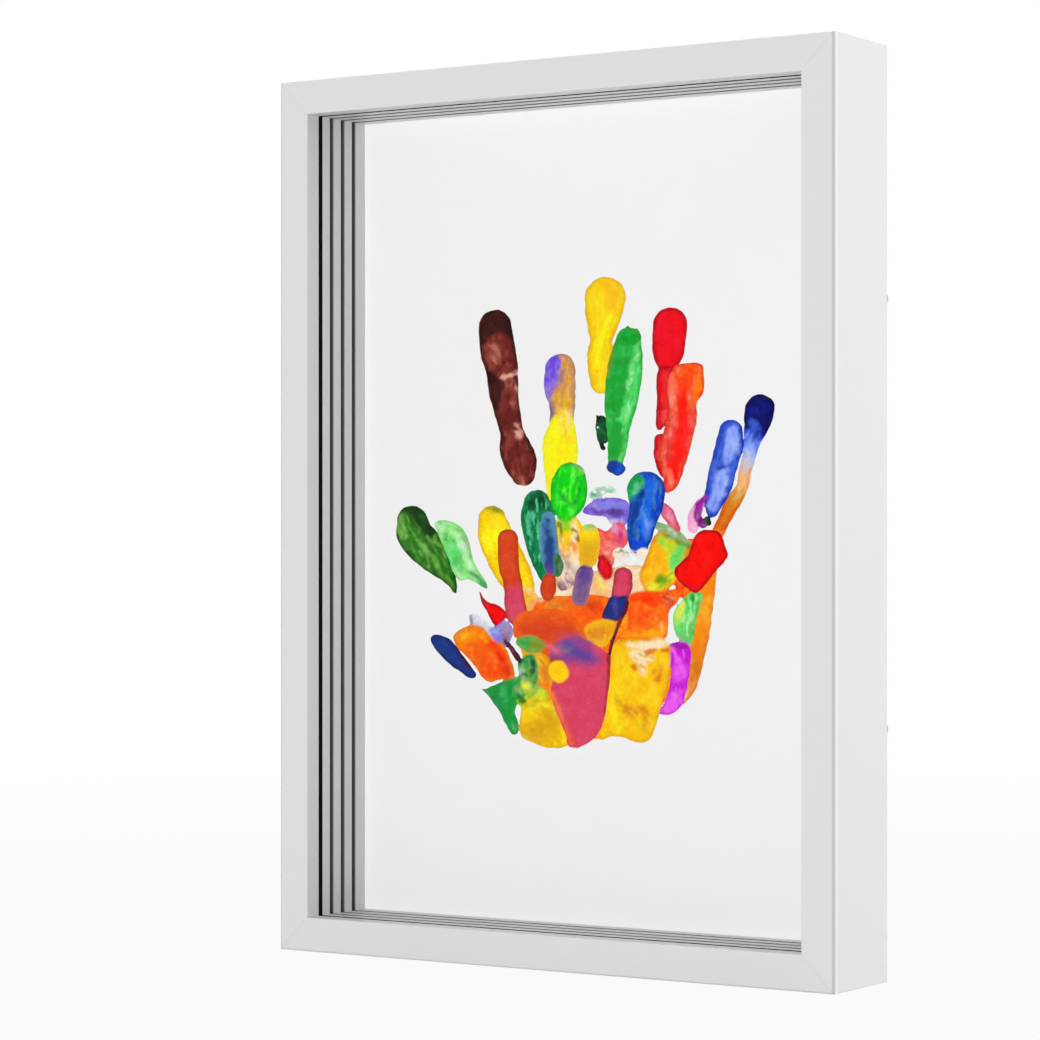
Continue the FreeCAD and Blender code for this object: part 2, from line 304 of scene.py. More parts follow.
def floor_finish():
    """Dull grey paint that fades into a white glow with distance, for what the camera sees."""
    finish = new_finish("pale floor")
    lit = finish.node("ShaderNodeBsdfDiffuse", sockets={"Color": grey(FLOOR_GREY)})
    glow = finish.node("ShaderNodeEmission", sockets={"Color": grey(1), "Strength": 1.0})
    x, y, _, _ = finish.place()
    away = (x * x + y * y).math("SQRT")
    share = finish.between(away, FLOOR_NEAR, FLOOR_FAR, FLOOR_GLOW, 1.0)
    both = finish.node("ShaderNodeMixShader", sockets={0: finish.seen() * share, 1: lit, 2: glow})
    return finish.show(both)


def lay_floor():
    """A square, a hair under the frame."""
    mesh = bpy.data.meshes.new("floor")
    reach = FLOOR_REACH
    corners = [(-reach, -reach), (reach, -reach), (reach, reach), (-reach, reach)]
    mesh.from_pydata([(x, y, -FLOOR_DROP) for x, y in corners], [], [(0, 1, 2, 3)])
    mesh.materials.append(floor_finish())
    floor = bpy.data.objects.new("floor", mesh)
    bpy.context.scene.collection.objects.link(floor)


lay_floor()
print("floor reaches", FLOOR_REACH, "m")

# %% [markdown]
# The rails are fibreboard wrapped in satin white foil. Foil is almost flat, so its finish is a very
# fine grain in the bump, a slow drift in sheen, hairlines where the mitred ends meet, and a bare
# core wherever the saw went through the foil, painted neutral dark as the shade deep in the cuts:
# nearly black in the first cut, grey in the others. A painted shade line runs along the front outer
# arris, with a painted highlight beside it on the side. All of these follow the point's own place,
# so one material serves the four rails.

# %% Foil on the rails
SLOT_CLEARANCE = 0.35 * MM
EDGE_CLEARANCE = 0.5 * MM
MASK_MARGIN = 0.06 * MM
SEAM_WIDTH = 0.32 * MM
SEAM_SHADE, SEAM_SINK = 0.93, 3.0
# The front outer arris carries a painted shade band, and the side just behind it a painted highlight.
ARRIS = 1.0 * MM
ARRIS_SHADE, ARRIS_SHINE = 0.64, 1.12
ARRIS_CORE_SHARE = 0.4
SHINE_START_SHARES, SHINE_END_SHARES = (1.0, 1.2), (2.0, 2.6)
SIDE_SKIN = 0.1 * MM
FOIL, FOIL_DRIFT = 0.705, 0.01
FOIL_ROUGH = (0.36, 0.44)
FOIL_GRAIN, FOIL_RELIEF = 0.35 * MM, 0.006 * MM
DRIFT_CELL = 40 * MM
# Painted shade in the saw cuts: nearly black in the first, grey in the others.
FIRST_CUT_PAINTED_SHADE, OTHER_CUTS_PAINTED_SHADE = 0.012, 0.22
CORE_ROUGHER = 0.4


def saw_cuts(finish, x, y, z):
    """A mask that is 1 inside the saw cuts, and the number of the nearest cut, from 0."""
    reach = sheet_thickness / 2 + SLOT_CLEARANCE + MASK_MARGIN
    steps = (y - first_slot) / slot_pitch
    nearest = steps.math("ROUND").math("MAXIMUM", 0).math("MINIMUM", len(SHEETS) - 1)
    in_slot = abs(steps - nearest) * slot_pitch < reach
    pocket = sheet_half_width + EDGE_CLEARANCE + MASK_MARGIN
    return in_slot * (abs(x) < pocket) * (z > sheet_low.z - MASK_MARGIN), nearest


def foil_finish():
    """Satin foil, mitre seams, a painted shade and highlight at the front arris, and bare saw cuts painted
    dark as shade.
    """
    finish = new_finish("satin foil")
    x, y, z, _ = finish.place()
    from_side = frame_half_width - abs(x)
    from_end = frame_height / 2 - abs(z - frame_height / 2)
    from_front = y - front_face
    bare, nearest = saw_cuts(finish, x, y, z)
    # The bare core in the cuts, painted neutral dark as the shade deep in them.
    core_and_shade = finish.mix(nearest > 0.5, grey(FIRST_CUT_PAINTED_SHADE), grey(OTHER_CUTS_PAINTED_SHADE))

    drift = finish.noise(DRIFT_CELL, detail=1.0)
    paper = finish.mix(drift, grey(FOIL * (1 - FOIL_DRIFT)), grey(FOIL * (1 + FOIL_DRIFT)))
    seam = finish.between(abs(from_side - from_end), SEAM_WIDTH / 2, SEAM_WIDTH, 1.0, 0.0)
    paper = finish.mix(seam, paper, grey(FOIL * SEAM_SHADE))
    # Painted shade on the front outer arris, where the rounded edge turns away from the light.
    from_corner = from_side.math("MAXIMUM", from_front)
    arris = finish.between(from_corner, ARRIS * ARRIS_CORE_SHARE, ARRIS, 1.0, 0.0)
    paper = finish.mix(arris, paper, grey(FOIL * ARRIS_SHADE))
    # Painted highlight on the side just behind the arris, where the rounded edge catches the light.
    onset = finish.between(from_front, *[ARRIS * share for share in SHINE_START_SHARES])
    ending = finish.between(from_front, *[ARRIS * share for share in SHINE_END_SHARES], 1.0, 0.0)
    shine = onset * ending * (from_side < SIDE_SKIN)
    paper = finish.mix(shine, paper, grey(FOIL * ARRIS_SHINE))

    grain = finish.noise(FOIL_GRAIN, detail=3.0)
    return finish.show(finish.principled(
        Base_Color=finish.mix(bare, paper, core_and_shade),
        Roughness=finish.between(drift, *NOISE_RANGE, *FOIL_ROUGH) + bare * CORE_ROUGHER,
        Specular_IOR_Level=0.3,
        Normal=finish.bump(grain - seam * SEAM_SINK, FOIL_RELIEF)))


def give(finish_made, *names):
    """Put one material in every slot of these CAD nodes."""
    for name in names:
        for slot in nodes[name].material_slots:
            slot.material = finish_made


give(foil_finish(), "top_rail", "bottom_rail", "left_rail", "right_rail")
print("foil on four rails, core in", len(SHEETS), "saw cuts")

# %% [markdown]
# Clear acrylic mirrors very little when it is looked at squarely, and more and more towards a
# grazing view. Eight faces lie one behind another here, so the part that mirrors is mixed in by the
# angle alone, and light otherwise goes straight through. The sawn edges are the one place where the
# sheet shows its own pale green.

# %% Clear acrylic
SQUARE_SHEEN = 0.0006
GRAZING_SHEEN = 0.5
SHEEN_POWER = 5
FACE_TINT, FACE_ROUGH = 0.95, 0.05
EDGE_BAND = 0.12 * MM
EDGE_SHARE, EDGE_ROUGH = 0.85, 0.40
EDGE_GREEN = (0.44, 0.63, 0.56, 1)
CLEAR_LAYERS = 32


def acrylic_finish():
    """Clear faces that mirror at a grazing angle, and pale green cut edges.

    The share that mirrors is a fifth power of how far the face is turned from the view.
    """
    finish = new_finish("clear acrylic")
    x, _, z, _ = finish.place()
    side = abs(x) > sheet_half_width - EDGE_BAND
    low = z < sheet_low.z + EDGE_BAND
    high = z > sheet_high.z - EDGE_BAND
    cut = side.math("MAXIMUM", low).math("MAXIMUM", high)
    facing = finish.node("ShaderNodeLayerWeight", sockets={"Blend": 0.5}, output="Facing")
    sheen = facing ** SHEEN_POWER * GRAZING_SHEEN + SQUARE_SHEEN
    surface = finish.principled(
        Base_Color=finish.mix(cut, grey(FACE_TINT), EDGE_GREEN),
        Metallic=1 - cut,
        Roughness=FACE_ROUGH + cut * (EDGE_ROUGH - FACE_ROUGH))
    clear = finish.node("ShaderNodeBsdfTransparent", sockets={"Color": grey(1)})
    share = sheen.math("MAXIMUM", cut * EDGE_SHARE)
    return finish.show(finish.node("ShaderNodeMixShader", sockets={0: share, 1: clear, 2: surface}))


def cast_nothing(piece):
    """Let a clear sheet, or the thin paint on one, put no shadow and no tint on the card."""
    piece.visible_shadow = False
    piece.visible_diffuse = False


give(acrylic_finish(), *["acrylic_sheet_%d" % number for number in SHEETS])
for sheet_number in SHEETS:
    cast_nothing(nodes["acrylic_sheet_%d" % sheet_number])
bpy.context.scene.cycles.transparent_max_bounces = CLEAR_LAYERS
print("acrylic on", len(SHEETS), "sheets, seen through up to", CLEAR_LAYERS, "clear layers")

# %% [markdown]
# Behind the sheets lies a plain white card, and behind it a thin brown fibreboard. Card is matt with
# barely visible fibres. Fibreboard is pressed from fine brown strands, so its colour is a mix of
# drawn-out noises at several angles, with a few dark flecks.

# %% Card and fibreboard
CARD, CARD_DRIFT = 0.90, 0.01
CARD_FIBRE, CARD_CLOUD = 0.5 * MM, 25 * MM
CARD_RELIEF = 0.01 * MM
FIBRE_STRETCH, FIBRE_SHARE = (1, 1, 0.4), 0.6
STRAND, STRAND_STRETCH = 0.9 * MM, (1, 1, 0.22)
STRAND_TURNS = (0, 37, 71, 108, 149)
BOARD_CLOUD, FLECK = 35 * MM, 1.6 * MM
BOARD_RELIEF, BOARD_ROUGH = 0.05 * MM, (0.85, 0.62)
STRAND_RANGE, FLECK_RANGE = (0.45, 0.85), (0.66, 0.74)
CLOUD_SHARE, FLECK_SHARE = 0.5, 0.6
BOARD_DARK, BOARD_PALE = (0.27, 0.155, 0.080, 1), (0.46, 0.300, 0.170, 1)
BOARD_WARM, BOARD_FLECK = (0.30, 0.180, 0.095, 1), (0.12, 0.065, 0.032, 1)


def card_finish():
    """Matt white card."""
    finish = new_finish("white card")
    fibre = finish.noise(CARD_FIBRE, detail=4.0, stretch=FIBRE_STRETCH)
    shade = fibre * FIBRE_SHARE + finish.noise(CARD_CLOUD) * (1 - FIBRE_SHARE)
    return finish.show(finish.principled(
        Base_Color=finish.mix(shade, grey(CARD * (1 - CARD_DRIFT)), grey(CARD * (1 + CARD_DRIFT))),
        Roughness=0.9,
        Specular_IOR_Level=0.1,
        Normal=finish.bump(fibre, CARD_RELIEF)))


def fibreboard_finish():
    """Pressed brown board: at each point the strongest of five layers of strands, each at its own angle."""
    finish = new_finish("fibreboard")
    layers = [
        finish.noise(STRAND, detail=4.0, stretch=STRAND_STRETCH, turn=math.radians(turn))
        for turn in STRAND_TURNS]
    strands = layers[0]
    for layer in layers[1:]:
        strands = strands.math("MAXIMUM", layer)
    strands = finish.between(strands, *STRAND_RANGE)
    cloud = finish.noise(BOARD_CLOUD, detail=3.0)
    fleck = finish.between(finish.noise(FLECK, detail=1.0), *FLECK_RANGE)
    colour = finish.mix(cloud * CLOUD_SHARE, finish.mix(strands, BOARD_DARK, BOARD_PALE), BOARD_WARM)
    return finish.show(finish.principled(
        Base_Color=finish.mix(fleck * FLECK_SHARE, colour, BOARD_FLECK),
        Roughness=finish.between(strands, 0.0, 1.0, *BOARD_ROUGH),
        Specular_IOR_Level=0.3,
        Normal=finish.bump(strands + fleck, BOARD_RELIEF)))


give(card_finish(), "background_card")
give(fibreboard_finish(), "back_board")
print("card and board done")

# %% [markdown]
# The fittings at the back are plated steel: zinc for the turn buttons, screws and nails, brass for
# the hanger and its rivets. Plating takes its look from small changes in roughness and a faint
# second tint, not from one flat grey.

# %% Plated steel
PLATE_DRIFT, SCRATCH = 3 * MM, 0.25 * MM
SCRATCH_STRETCH = (0.08, 1, 1)
PLATE_RELIEF = 0.004 * MM
TINT_RANGE, WEAR_SHARE = (0.35, 0.65), 0.6
ZINC_ROUGH, BRASS_ROUGH = (0.28, 0.50), (0.22, 0.45)
ZINC_BLUE, ZINC_WARM = (0.44, 0.46, 0.50, 1), (0.54, 0.53, 0.48, 1)
BRASS_YELLOW, BRASS_BROWN = (0.66, 0.45, 0.16, 1), (0.54, 0.35, 0.12, 1)


def plated_finish(name, first, second, rough):
    """Thin bright plating: two tints that drift into each other, and roughness that wears in spots."""
    finish = new_finish(name)
    drift = finish.noise(PLATE_DRIFT, detail=3.0)
    scratch = finish.noise(SCRATCH, detail=3.0, stretch=SCRATCH_STRETCH)
    wear = drift * WEAR_SHARE + scratch * (1 - WEAR_SHARE)
    return finish.show(finish.principled(
        Base_Color=finish.mix(finish.between(drift, *TINT_RANGE), first, second),
        Metallic=1.0,
        Roughness=finish.between(wear, *NOISE_RANGE, *rough),
        Normal=finish.bump(scratch, PLATE_RELIEF)))


zinc = plated_finish("zinc plating", ZINC_BLUE, ZINC_WARM, ZINC_ROUGH)
brass = plated_finish("brass plating", BRASS_YELLOW, BRASS_BROWN, BRASS_ROUGH)
give(zinc, "corner_nails", *[name for name in nodes if name.startswith("turn_button")])
give(brass, "sawtooth_hanger", "hanger_rivets")
print("plating done")

# %% [markdown]
# Now the paint. A hand leaves a film a tenth to a quarter of a millimetre thick: pads with a ragged
# edge, a raised rim where the paint was squeezed out, streaks and bare specks where the skin lifted
# it again. Loose strokes laid over each other would cut through one another, so each print is one
# film on a fine grid instead. Every mark adds its own depth, height and colour to the grid, later
# ones over earlier ones, and the mesh is cut from the grid at the end. All of the unevenness comes
# from one kind of noise, seeded by number, so that each run gives the same paint.

# %% Smooth random fields
LATTICE = 256


def value_noise(x, z, cell, seed):
    """Random numbers on a square lattice of the given cell, blended by the curve 3t^2 - 2t^3."""
    lattice = np.random.default_rng(seed).random((LATTICE, LATTICE))
    column, row = np.floor(x / cell).astype(int), np.floor(z / cell).astype(int)
    across, up = x / cell - column, z / cell - row
    across, up = across * across * (3 - 2 * across), up * up * (3 - 2 * up)
    corner = [[lattice[(row + i) % LATTICE, (column + j) % LATTICE] for j in (0, 1)] for i in (0, 1)]
    low = corner[0][0] + (corner[0][1] - corner[0][0]) * across
    high = corner[1][0] + (corner[1][1] - corner[1][0]) * across
    return low + (high - low) * up


def fractal(x, z, cell, seed, octaves=3):
    """Several noises added, each with half the cell and half the weight, brought back to 0 to 1."""
    total, weight = 0, 0
    for octave in range(octaves):
        share = 0.5 ** octave
        total = total + share * value_noise(x, z, cell * share, seed + octave)
        weight += share
    return total / weight


def rise(value):
    """0 below 0, 1 above 1 and the smooth curve 3t^2 - 2t^3 between."""
    value = np.clip(value, 0, 1)
    return value * value * (3 - 2 * value)


print("noise from", LATTICE, "squared lattices")

# %% [markdown]
# A mark has one of two shapes. A finger pad is a stroke: a smooth path with a half width at each of
# its stations, and a point's depth in it is the most that any disc along the path covers it by. A
# palm patch is a smooth closed outline, and the depth is the distance to it, counted from inside.

# %% Shapes of a mark
SPAN_STEPS = 8


def smooth_line(points, closed):
    """A Catmull-Rom curve: between two points, the cubic whose slopes at them follow their neighbours."""
    points = np.asarray(points, float)
    if closed:
        before, start, end, after = (np.roll(points, -shift, axis=0) for shift in (-1, 0, 1, 2))
    else:
        padded = np.vstack([2 * points[0] - points[1], points, 2 * points[-1] - points[-2]])
        before, start, end, after = padded[:-3], padded[1:-2], padded[2:-1], padded[3:]
    t = (np.arange(SPAN_STEPS) / SPAN_STEPS)[None, :, None]
    before, start, end, after = (part[:, None] for part in (before, start, end, after))
    curve = start + t / 2 * (end - before)
    curve = curve + t ** 2 / 2 * (2 * before - 5 * start + 4 * end - after)
    curve = curve + t ** 3 / 2 * (3 * start - before - 3 * end + after)
    curve = curve.reshape(-1, points.shape[1])
    return curve if closed else np.vstack([curve, points[-1]])


def stroke_depth(x, z, path):
    """The greatest of half width minus distance over all discs of the path, and where it is found.

    Level distances are squeezed by the cosine of the camera's yaw, so a disc looks round from there.
    """
    aside, above = x[..., None] - path[:, 0], z[..., None] - path[:, 1]
    cover = path[:, 2] - np.hypot(aside * math.cos(YAW), above)
    return cover.max(axis=-1), cover.argmax(axis=-1) / (len(path) - 1)


def patch_depth(x, z, loop):
    """Distance to the nearest side of the loop, and how far along the patch the point lies.

    The distance is positive inside, where a level ray crosses the loop an odd number of times.
    """
    side = np.roll(loop, -1, axis=0) - loop
    off_x, off_z = x[..., None] - loop[:, 0], z[..., None] - loop[:, 1]
    share = np.clip((off_x * side[:, 0] + off_z * side[:, 1]) / (side ** 2).sum(axis=1), 0, 1)
    nearest = np.hypot(off_x - share * side[:, 0], off_z - share * side[:, 1]).min(axis=-1)
    spans = (off_z < 0) != (off_z < side[:, 1])
    slope = side[:, 0] / np.where(side[:, 1] == 0, 1, side[:, 1])
    inside = (spans & (off_x < off_z * slope)).sum(axis=-1) % 2 == 1
    axis = loop[len(loop) // 2] - loop[0]
    along = ((x - loop[0, 0]) * axis[0] + (z - loop[0, 1]) * axis[1]) / (axis ** 2).sum()
    return np.where(inside, nearest, -nearest), np.clip(along, 0, 1)


print("strokes and patches, with", SPAN_STEPS, "steps from point to point")

# %% [markdown]
# The colours are craft paints, given as they look on white card. They are written once, by name, and
# every mark asks for them by that name, as a painter would for a pot.

# %% Paints
PAINTS = {
    "umber": (32, 2, 0), "walnut": (112, 36, 30), "rosewood": (158, 74, 62), "dusty_rose": (235, 170, 150),
    "russet": (150, 58, 20), "mauve": (160, 122, 132), "wine": (72, 6, 26), "maroon": (110, 20, 50),
    "gold": (254, 214, 14), "sunflower": (253, 199, 16), "lemon": (255, 244, 22), "citron": (226, 234, 50),
    "amber": (252, 186, 22), "ochre": (224, 172, 28), "caramel": (224, 130, 34), "tan": (222, 160, 66),
    "peach": (245, 194, 140), "cream": (250, 230, 192), "chalk": (238, 238, 238), "frost": (204, 208, 226),
    "mist": (222, 234, 226), "cherry": (240, 5, 28), "scarlet": (252, 12, 2), "garnet": (150, 6, 30),
    "coral": (234, 74, 64), "salmon": (250, 124, 98), "vermilion": (250, 84, 14), "brick": (214, 68, 30),
    "orange": (255, 146, 16), "tangerine": (248, 108, 20), "crimson": (214, 68, 98),
    "rose": (232, 108, 124), "raspberry": (212, 60, 128), "blush": (248, 190, 224), "navy": (4, 10, 108),
    "ink": (20, 22, 72), "denim": (30, 54, 128), "marine": (4, 58, 142), "royal": (22, 42, 164),
    "cobalt": (20, 80, 212), "sky": (18, 110, 228), "azure": (66, 104, 218), "steel_blue": (86, 142, 172),
    "ice": (152, 174, 250), "lilac": (140, 138, 230), "purple": (96, 68, 148), "iris": (132, 96, 216),
    "violet": (100, 58, 230), "plum": (128, 16, 130), "magenta": (204, 28, 212), "orchid": (236, 100, 240),
    "leaf": (16, 164, 46), "spring": (18, 216, 18), "neon": (92, 246, 66), "apple": (88, 220, 110),
    "mint": (116, 218, 104), "pale_mint": (182, 242, 172), "fern": (112, 176, 74), "forest": (14, 54, 12),
    "moss": (46, 118, 26), "pine": (8, 76, 44), "bottle": (14, 126, 72), "seafoam": (92, 196, 150),
    "emerald": (24, 160, 62), "lime": (150, 214, 44), "olive": (128, 140, 30), "jade": (44, 150, 76),
    "sage": (146, 182, 128), "grass": (100, 160, 10), "heather": (124, 90, 138),
}


def linear(red, green, blue):
    """A colour given in display bytes, as the linear numbers that shaders use."""
    share = np.array([red, green, blue]) / 255
    return np.where(share < 0.04045, share / 12.92, ((share + 0.055) / 1.055) ** 2.4)


PAINTS = {name: linear(*shade) for name, shade in PAINTS.items()}
print("paints:", len(PAINTS))

# %% [markdown]
# A mark on a print is either a dab, a pad of paint with an edge of its own, or a tint, a second colour
# rubbed into paint that is already there. A print could be laid out in millimetres on its sheet. It is
# easier to follow where it is seen, so a mark's points are pixels of the photo, and one function
# carries them over to the sheet.

# %% Marks and where they lie
DAB_SOFT, TINT_SOFT = 0.4, 1.5
TINT_STRENGTH = 0.92


def dab(colours, points, fleck=None, rim=None, flecks=0.5, bare=0.0, reach=1.0, soft=DAB_SOFT, strength=1.0,
        rubbed=False):
    """One dab of paint. Its points are photo pixels: x, y for a patch, or x, y, half width for a stroke.

    colours are blended from its first point to its far end. fleck is the colour of its streaks and
    flecks their strength, rim the colour that gathers in its wrinkles and within a reach in
    millimetres of its edge, and bare the share that the skin lifted off again. It fades in over soft
    millimetres, to its full strength.
    """
    return {"colours": colours.split(), "points": points, "fleck": fleck, "rim": rim, "flecks": flecks,
            "bare": bare, "reach": reach * MM, "soft": soft * MM, "strength": strength, "rubbed": rubbed}


def tint(colours, points, soft=TINT_SOFT, strength=TINT_STRENGTH, **streaks):
    """A second colour rubbed into paint that is already there: a softer, weaker dab with no edge."""
    return dab(colours, points, soft=soft, strength=strength, rubbed=True, **streaks)


def on_sheet(pixels, number):
    """Where the sight lines through pixels of the photo meet the front of a sheet, as x and z.

    A pixel is a direction: along the camera's axis, plus its offsets from the middle column and
    the horizon over the focal length. The line is followed until its y is the sheet's.
    """
    pixels = np.asarray(pixels, float)
    aside = (pixels[:, 0] - PHOTO_SIDE / 2) / FOCAL_LENGTH
    above = (HORIZON - pixels[:, 1]) / FOCAL_LENGTH
    along_x = aside * math.cos(YAW) - math.sin(YAW)
    along_y = aside * math.sin(YAW) + math.cos(YAW)
    distance = (sheet_fronts[number] - EYE[1]) / along_y
    return np.column_stack([EYE[0] + along_x * distance, EYE[2] + above * distance])


def placed(points, number):
    """A mark's points on its sheet: x and z, and for a stroke the half width.

    The half width is how far below the point another one lies, that many pixels lower in the photo.
    """
    points = np.asarray(points, float)
    middle = on_sheet(points[:, :2], number)
    if points.shape[1] == 2:
        return middle
    below = on_sheet(points[:, :2] + points[:, 2:] * [0, 1], number)
    return np.column_stack([middle, middle[:, 1] - below[:, 1]])


photo_middle = on_sheet([(PHOTO_SIDE / 2, PHOTO_SIDE / 2)], 1)[0] / MM
print("the middle of the photo lies on sheet 1 at x %.0f, z %.0f mm" % tuple(photo_middle))

# %% [markdown]
# The largest hand is on the sheet at the back. Only its fingers, its thumb and the outer edge of its
# palm are in sight, and the rest is hidden by the other prints, so that part is laid out from how a
# hand prints: the ball of the thumb and the heel, round a hollow that stays clear.

# %% Largest print, on sheet 4
LARGEST = {
    "index_finger": dab("walnut", (
        (495, 326, 16), (497, 347, 17.5), (502, 370, 16), (504, 395, 14.5), (508, 415, 12.5),
        (512, 432, 12), (515, 447, 15.5), (520, 461, 17), (523, 474, 12)), fleck="rosewood", rim="umber"),
    "index_tip": tint("umber", (
        (478, 348), (478, 330), (484, 315), (495, 309), (507, 314), (513, 330), (511, 341), (501, 334),
        (491, 336), (484, 348)), soft=1.3),
    "index_shade": tint("umber", (
        (485, 368), (493, 372), (502, 378), (503, 392), (499, 412), (494, 412), (489, 398), (485, 384))),
    "index_scuff": tint("rosewood", (
        (483, 346), (494, 340), (502, 348), (500, 366), (491, 366), (484, 357)), soft=2.6,
        fleck="dusty_rose", flecks=0.5, strength=0.65),
    "index_crease": tint("dusty_rose", ((502, 377, 1), (510, 376, 1.6), (519, 373, 2)), soft=0.5),
    "index_side": tint("rosewood", (
        (513, 380, 3), (515, 392, 4), (513, 403, 3)), soft=1.4, fleck="dusty_rose", flecks=1.0,
        strength=0.75),
    "index_waist": tint("walnut", (
        (512, 424), (521, 420), (527, 431), (521, 441), (513, 436)), soft=1.6, fleck="dusty_rose",
        flecks=1.0, strength=0.8),
    "index_end": tint("rosewood", ((521, 478, 4), (526, 486, 4)), soft=1.0, fleck="dusty_rose"),
    "middle_finger": dab("gold", (
        (605, 297, 20), (604, 313, 18), (602, 328, 14), (601, 341, 10.5), (601, 355, 13.5),
        (602, 370, 13.5), (602, 382, 11.5)), fleck="lemon", rim="ochre", flecks=0.3),
    "middle_warm": tint("amber", ((606, 285, 8), (614, 295, 9), (613, 306, 7)), soft=3.0),
    "middle_light": tint("lemon", ((610, 318, 5), (603, 332, 6), (598, 352, 6), (597, 366, 5)), soft=2.5),
    "middle_base": dab("pine bottle pine", (
        (601, 420, 5), (603, 429, 7), (603, 438, 5.5)), fleck="emerald", rim="forest", bare=0.1),
    "middle_drop": dab("forest", ((601, 444, 2), (603, 448, 2.2))),
    "middle_speck": dab("forest", ((597, 416, 1.6), (599, 420, 2))),
    "ring_finger": dab("cherry", (
        (670, 324, 16.5), (669, 340, 16.5), (668, 355, 14), (667, 365, 9)), rim="garnet"),
    "ring_shaft": dab("cherry", (
        (658, 370), (674, 370), (676, 400), (675, 428), (664, 426), (661, 430), (656, 426), (657, 400)),
        rim="garnet", fleck="coral"),
    "ring_base": dab("cherry", (
        (655, 437), (662, 434), (676, 434), (680, 460), (674, 482), (663, 478), (657, 468), (654, 455)),
        rim="garnet", fleck="coral"),
    "little_finger": dab("navy navy azure ice frost peach peach tan caramel caramel orange", (
        (760, 409, 14.5), (758, 420, 13.5), (755, 432, 10.5), (751, 445, 8), (749, 458, 6.5), (745, 472, 6),
        (742, 486, 6), (736, 498, 7), (729, 510, 7), (723, 522, 6), (717, 534, 6)), flecks=0.3),
    "little_sheen": tint("azure royal", ((752, 422, 4), (757, 430, 5), (756, 437, 3)), soft=1.5),
    "thumb": dab("moss", (
        (412, 521, 15.5), (415, 534, 18.5), (426, 548, 18), (437, 561, 14), (446, 573, 9), (452, 583, 5),
        (455, 591, 2)), fleck="fern", rim="forest", flecks=0.8),
    "thumb_dark": tint("forest", (
        (400, 506), (412, 502), (426, 512), (436, 528), (432, 538), (420, 529), (409, 516)), soft=1.2),
    "thumb_light": tint("fern", ((401, 516, 4), (398, 526, 4), (404, 536, 4)), soft=1.5),
    "thumb_glint": tint("fern", ((418, 540, 1.6), (427, 550, 2.2), (436, 562, 2), (443, 574, 2)), soft=0.8),
    "thumb_ball": dab("amber lime", (
        (520, 640), (535, 612), (560, 605), (588, 618), (598, 650), (600, 690), (590, 725), (565, 728),
        (540, 705)), fleck="gold", bare=0.15),
    "heel": dab("amber orange", (
        (565, 690), (600, 655), (640, 652), (672, 650), (688, 662), (678, 686), (652, 714), (620, 734),
        (585, 735)), fleck="gold", bare=0.1),
    "outer_edge": dab("orange orange orange caramel peach", (
        (716, 545, 7), (709, 565, 9), (704, 590, 10.5), (701, 612, 11), (697, 637, 11), (692, 661, 11),
        (686, 682, 11), (680, 696, 9)), fleck="amber", rim="caramel", flecks=0.3),
}
print("largest print:", len(LARGEST), "marks")

# %% [markdown]
# The second largest hand is one sheet nearer. Its fingers are plain pads, and its palm is a patchwork
# of mounts: violet, rose and lime at the top, then an orange band, a green strip, and a yellow heel
# with a magenta edge. Each mount is a dab, and the tints over it are where two colours ran together.

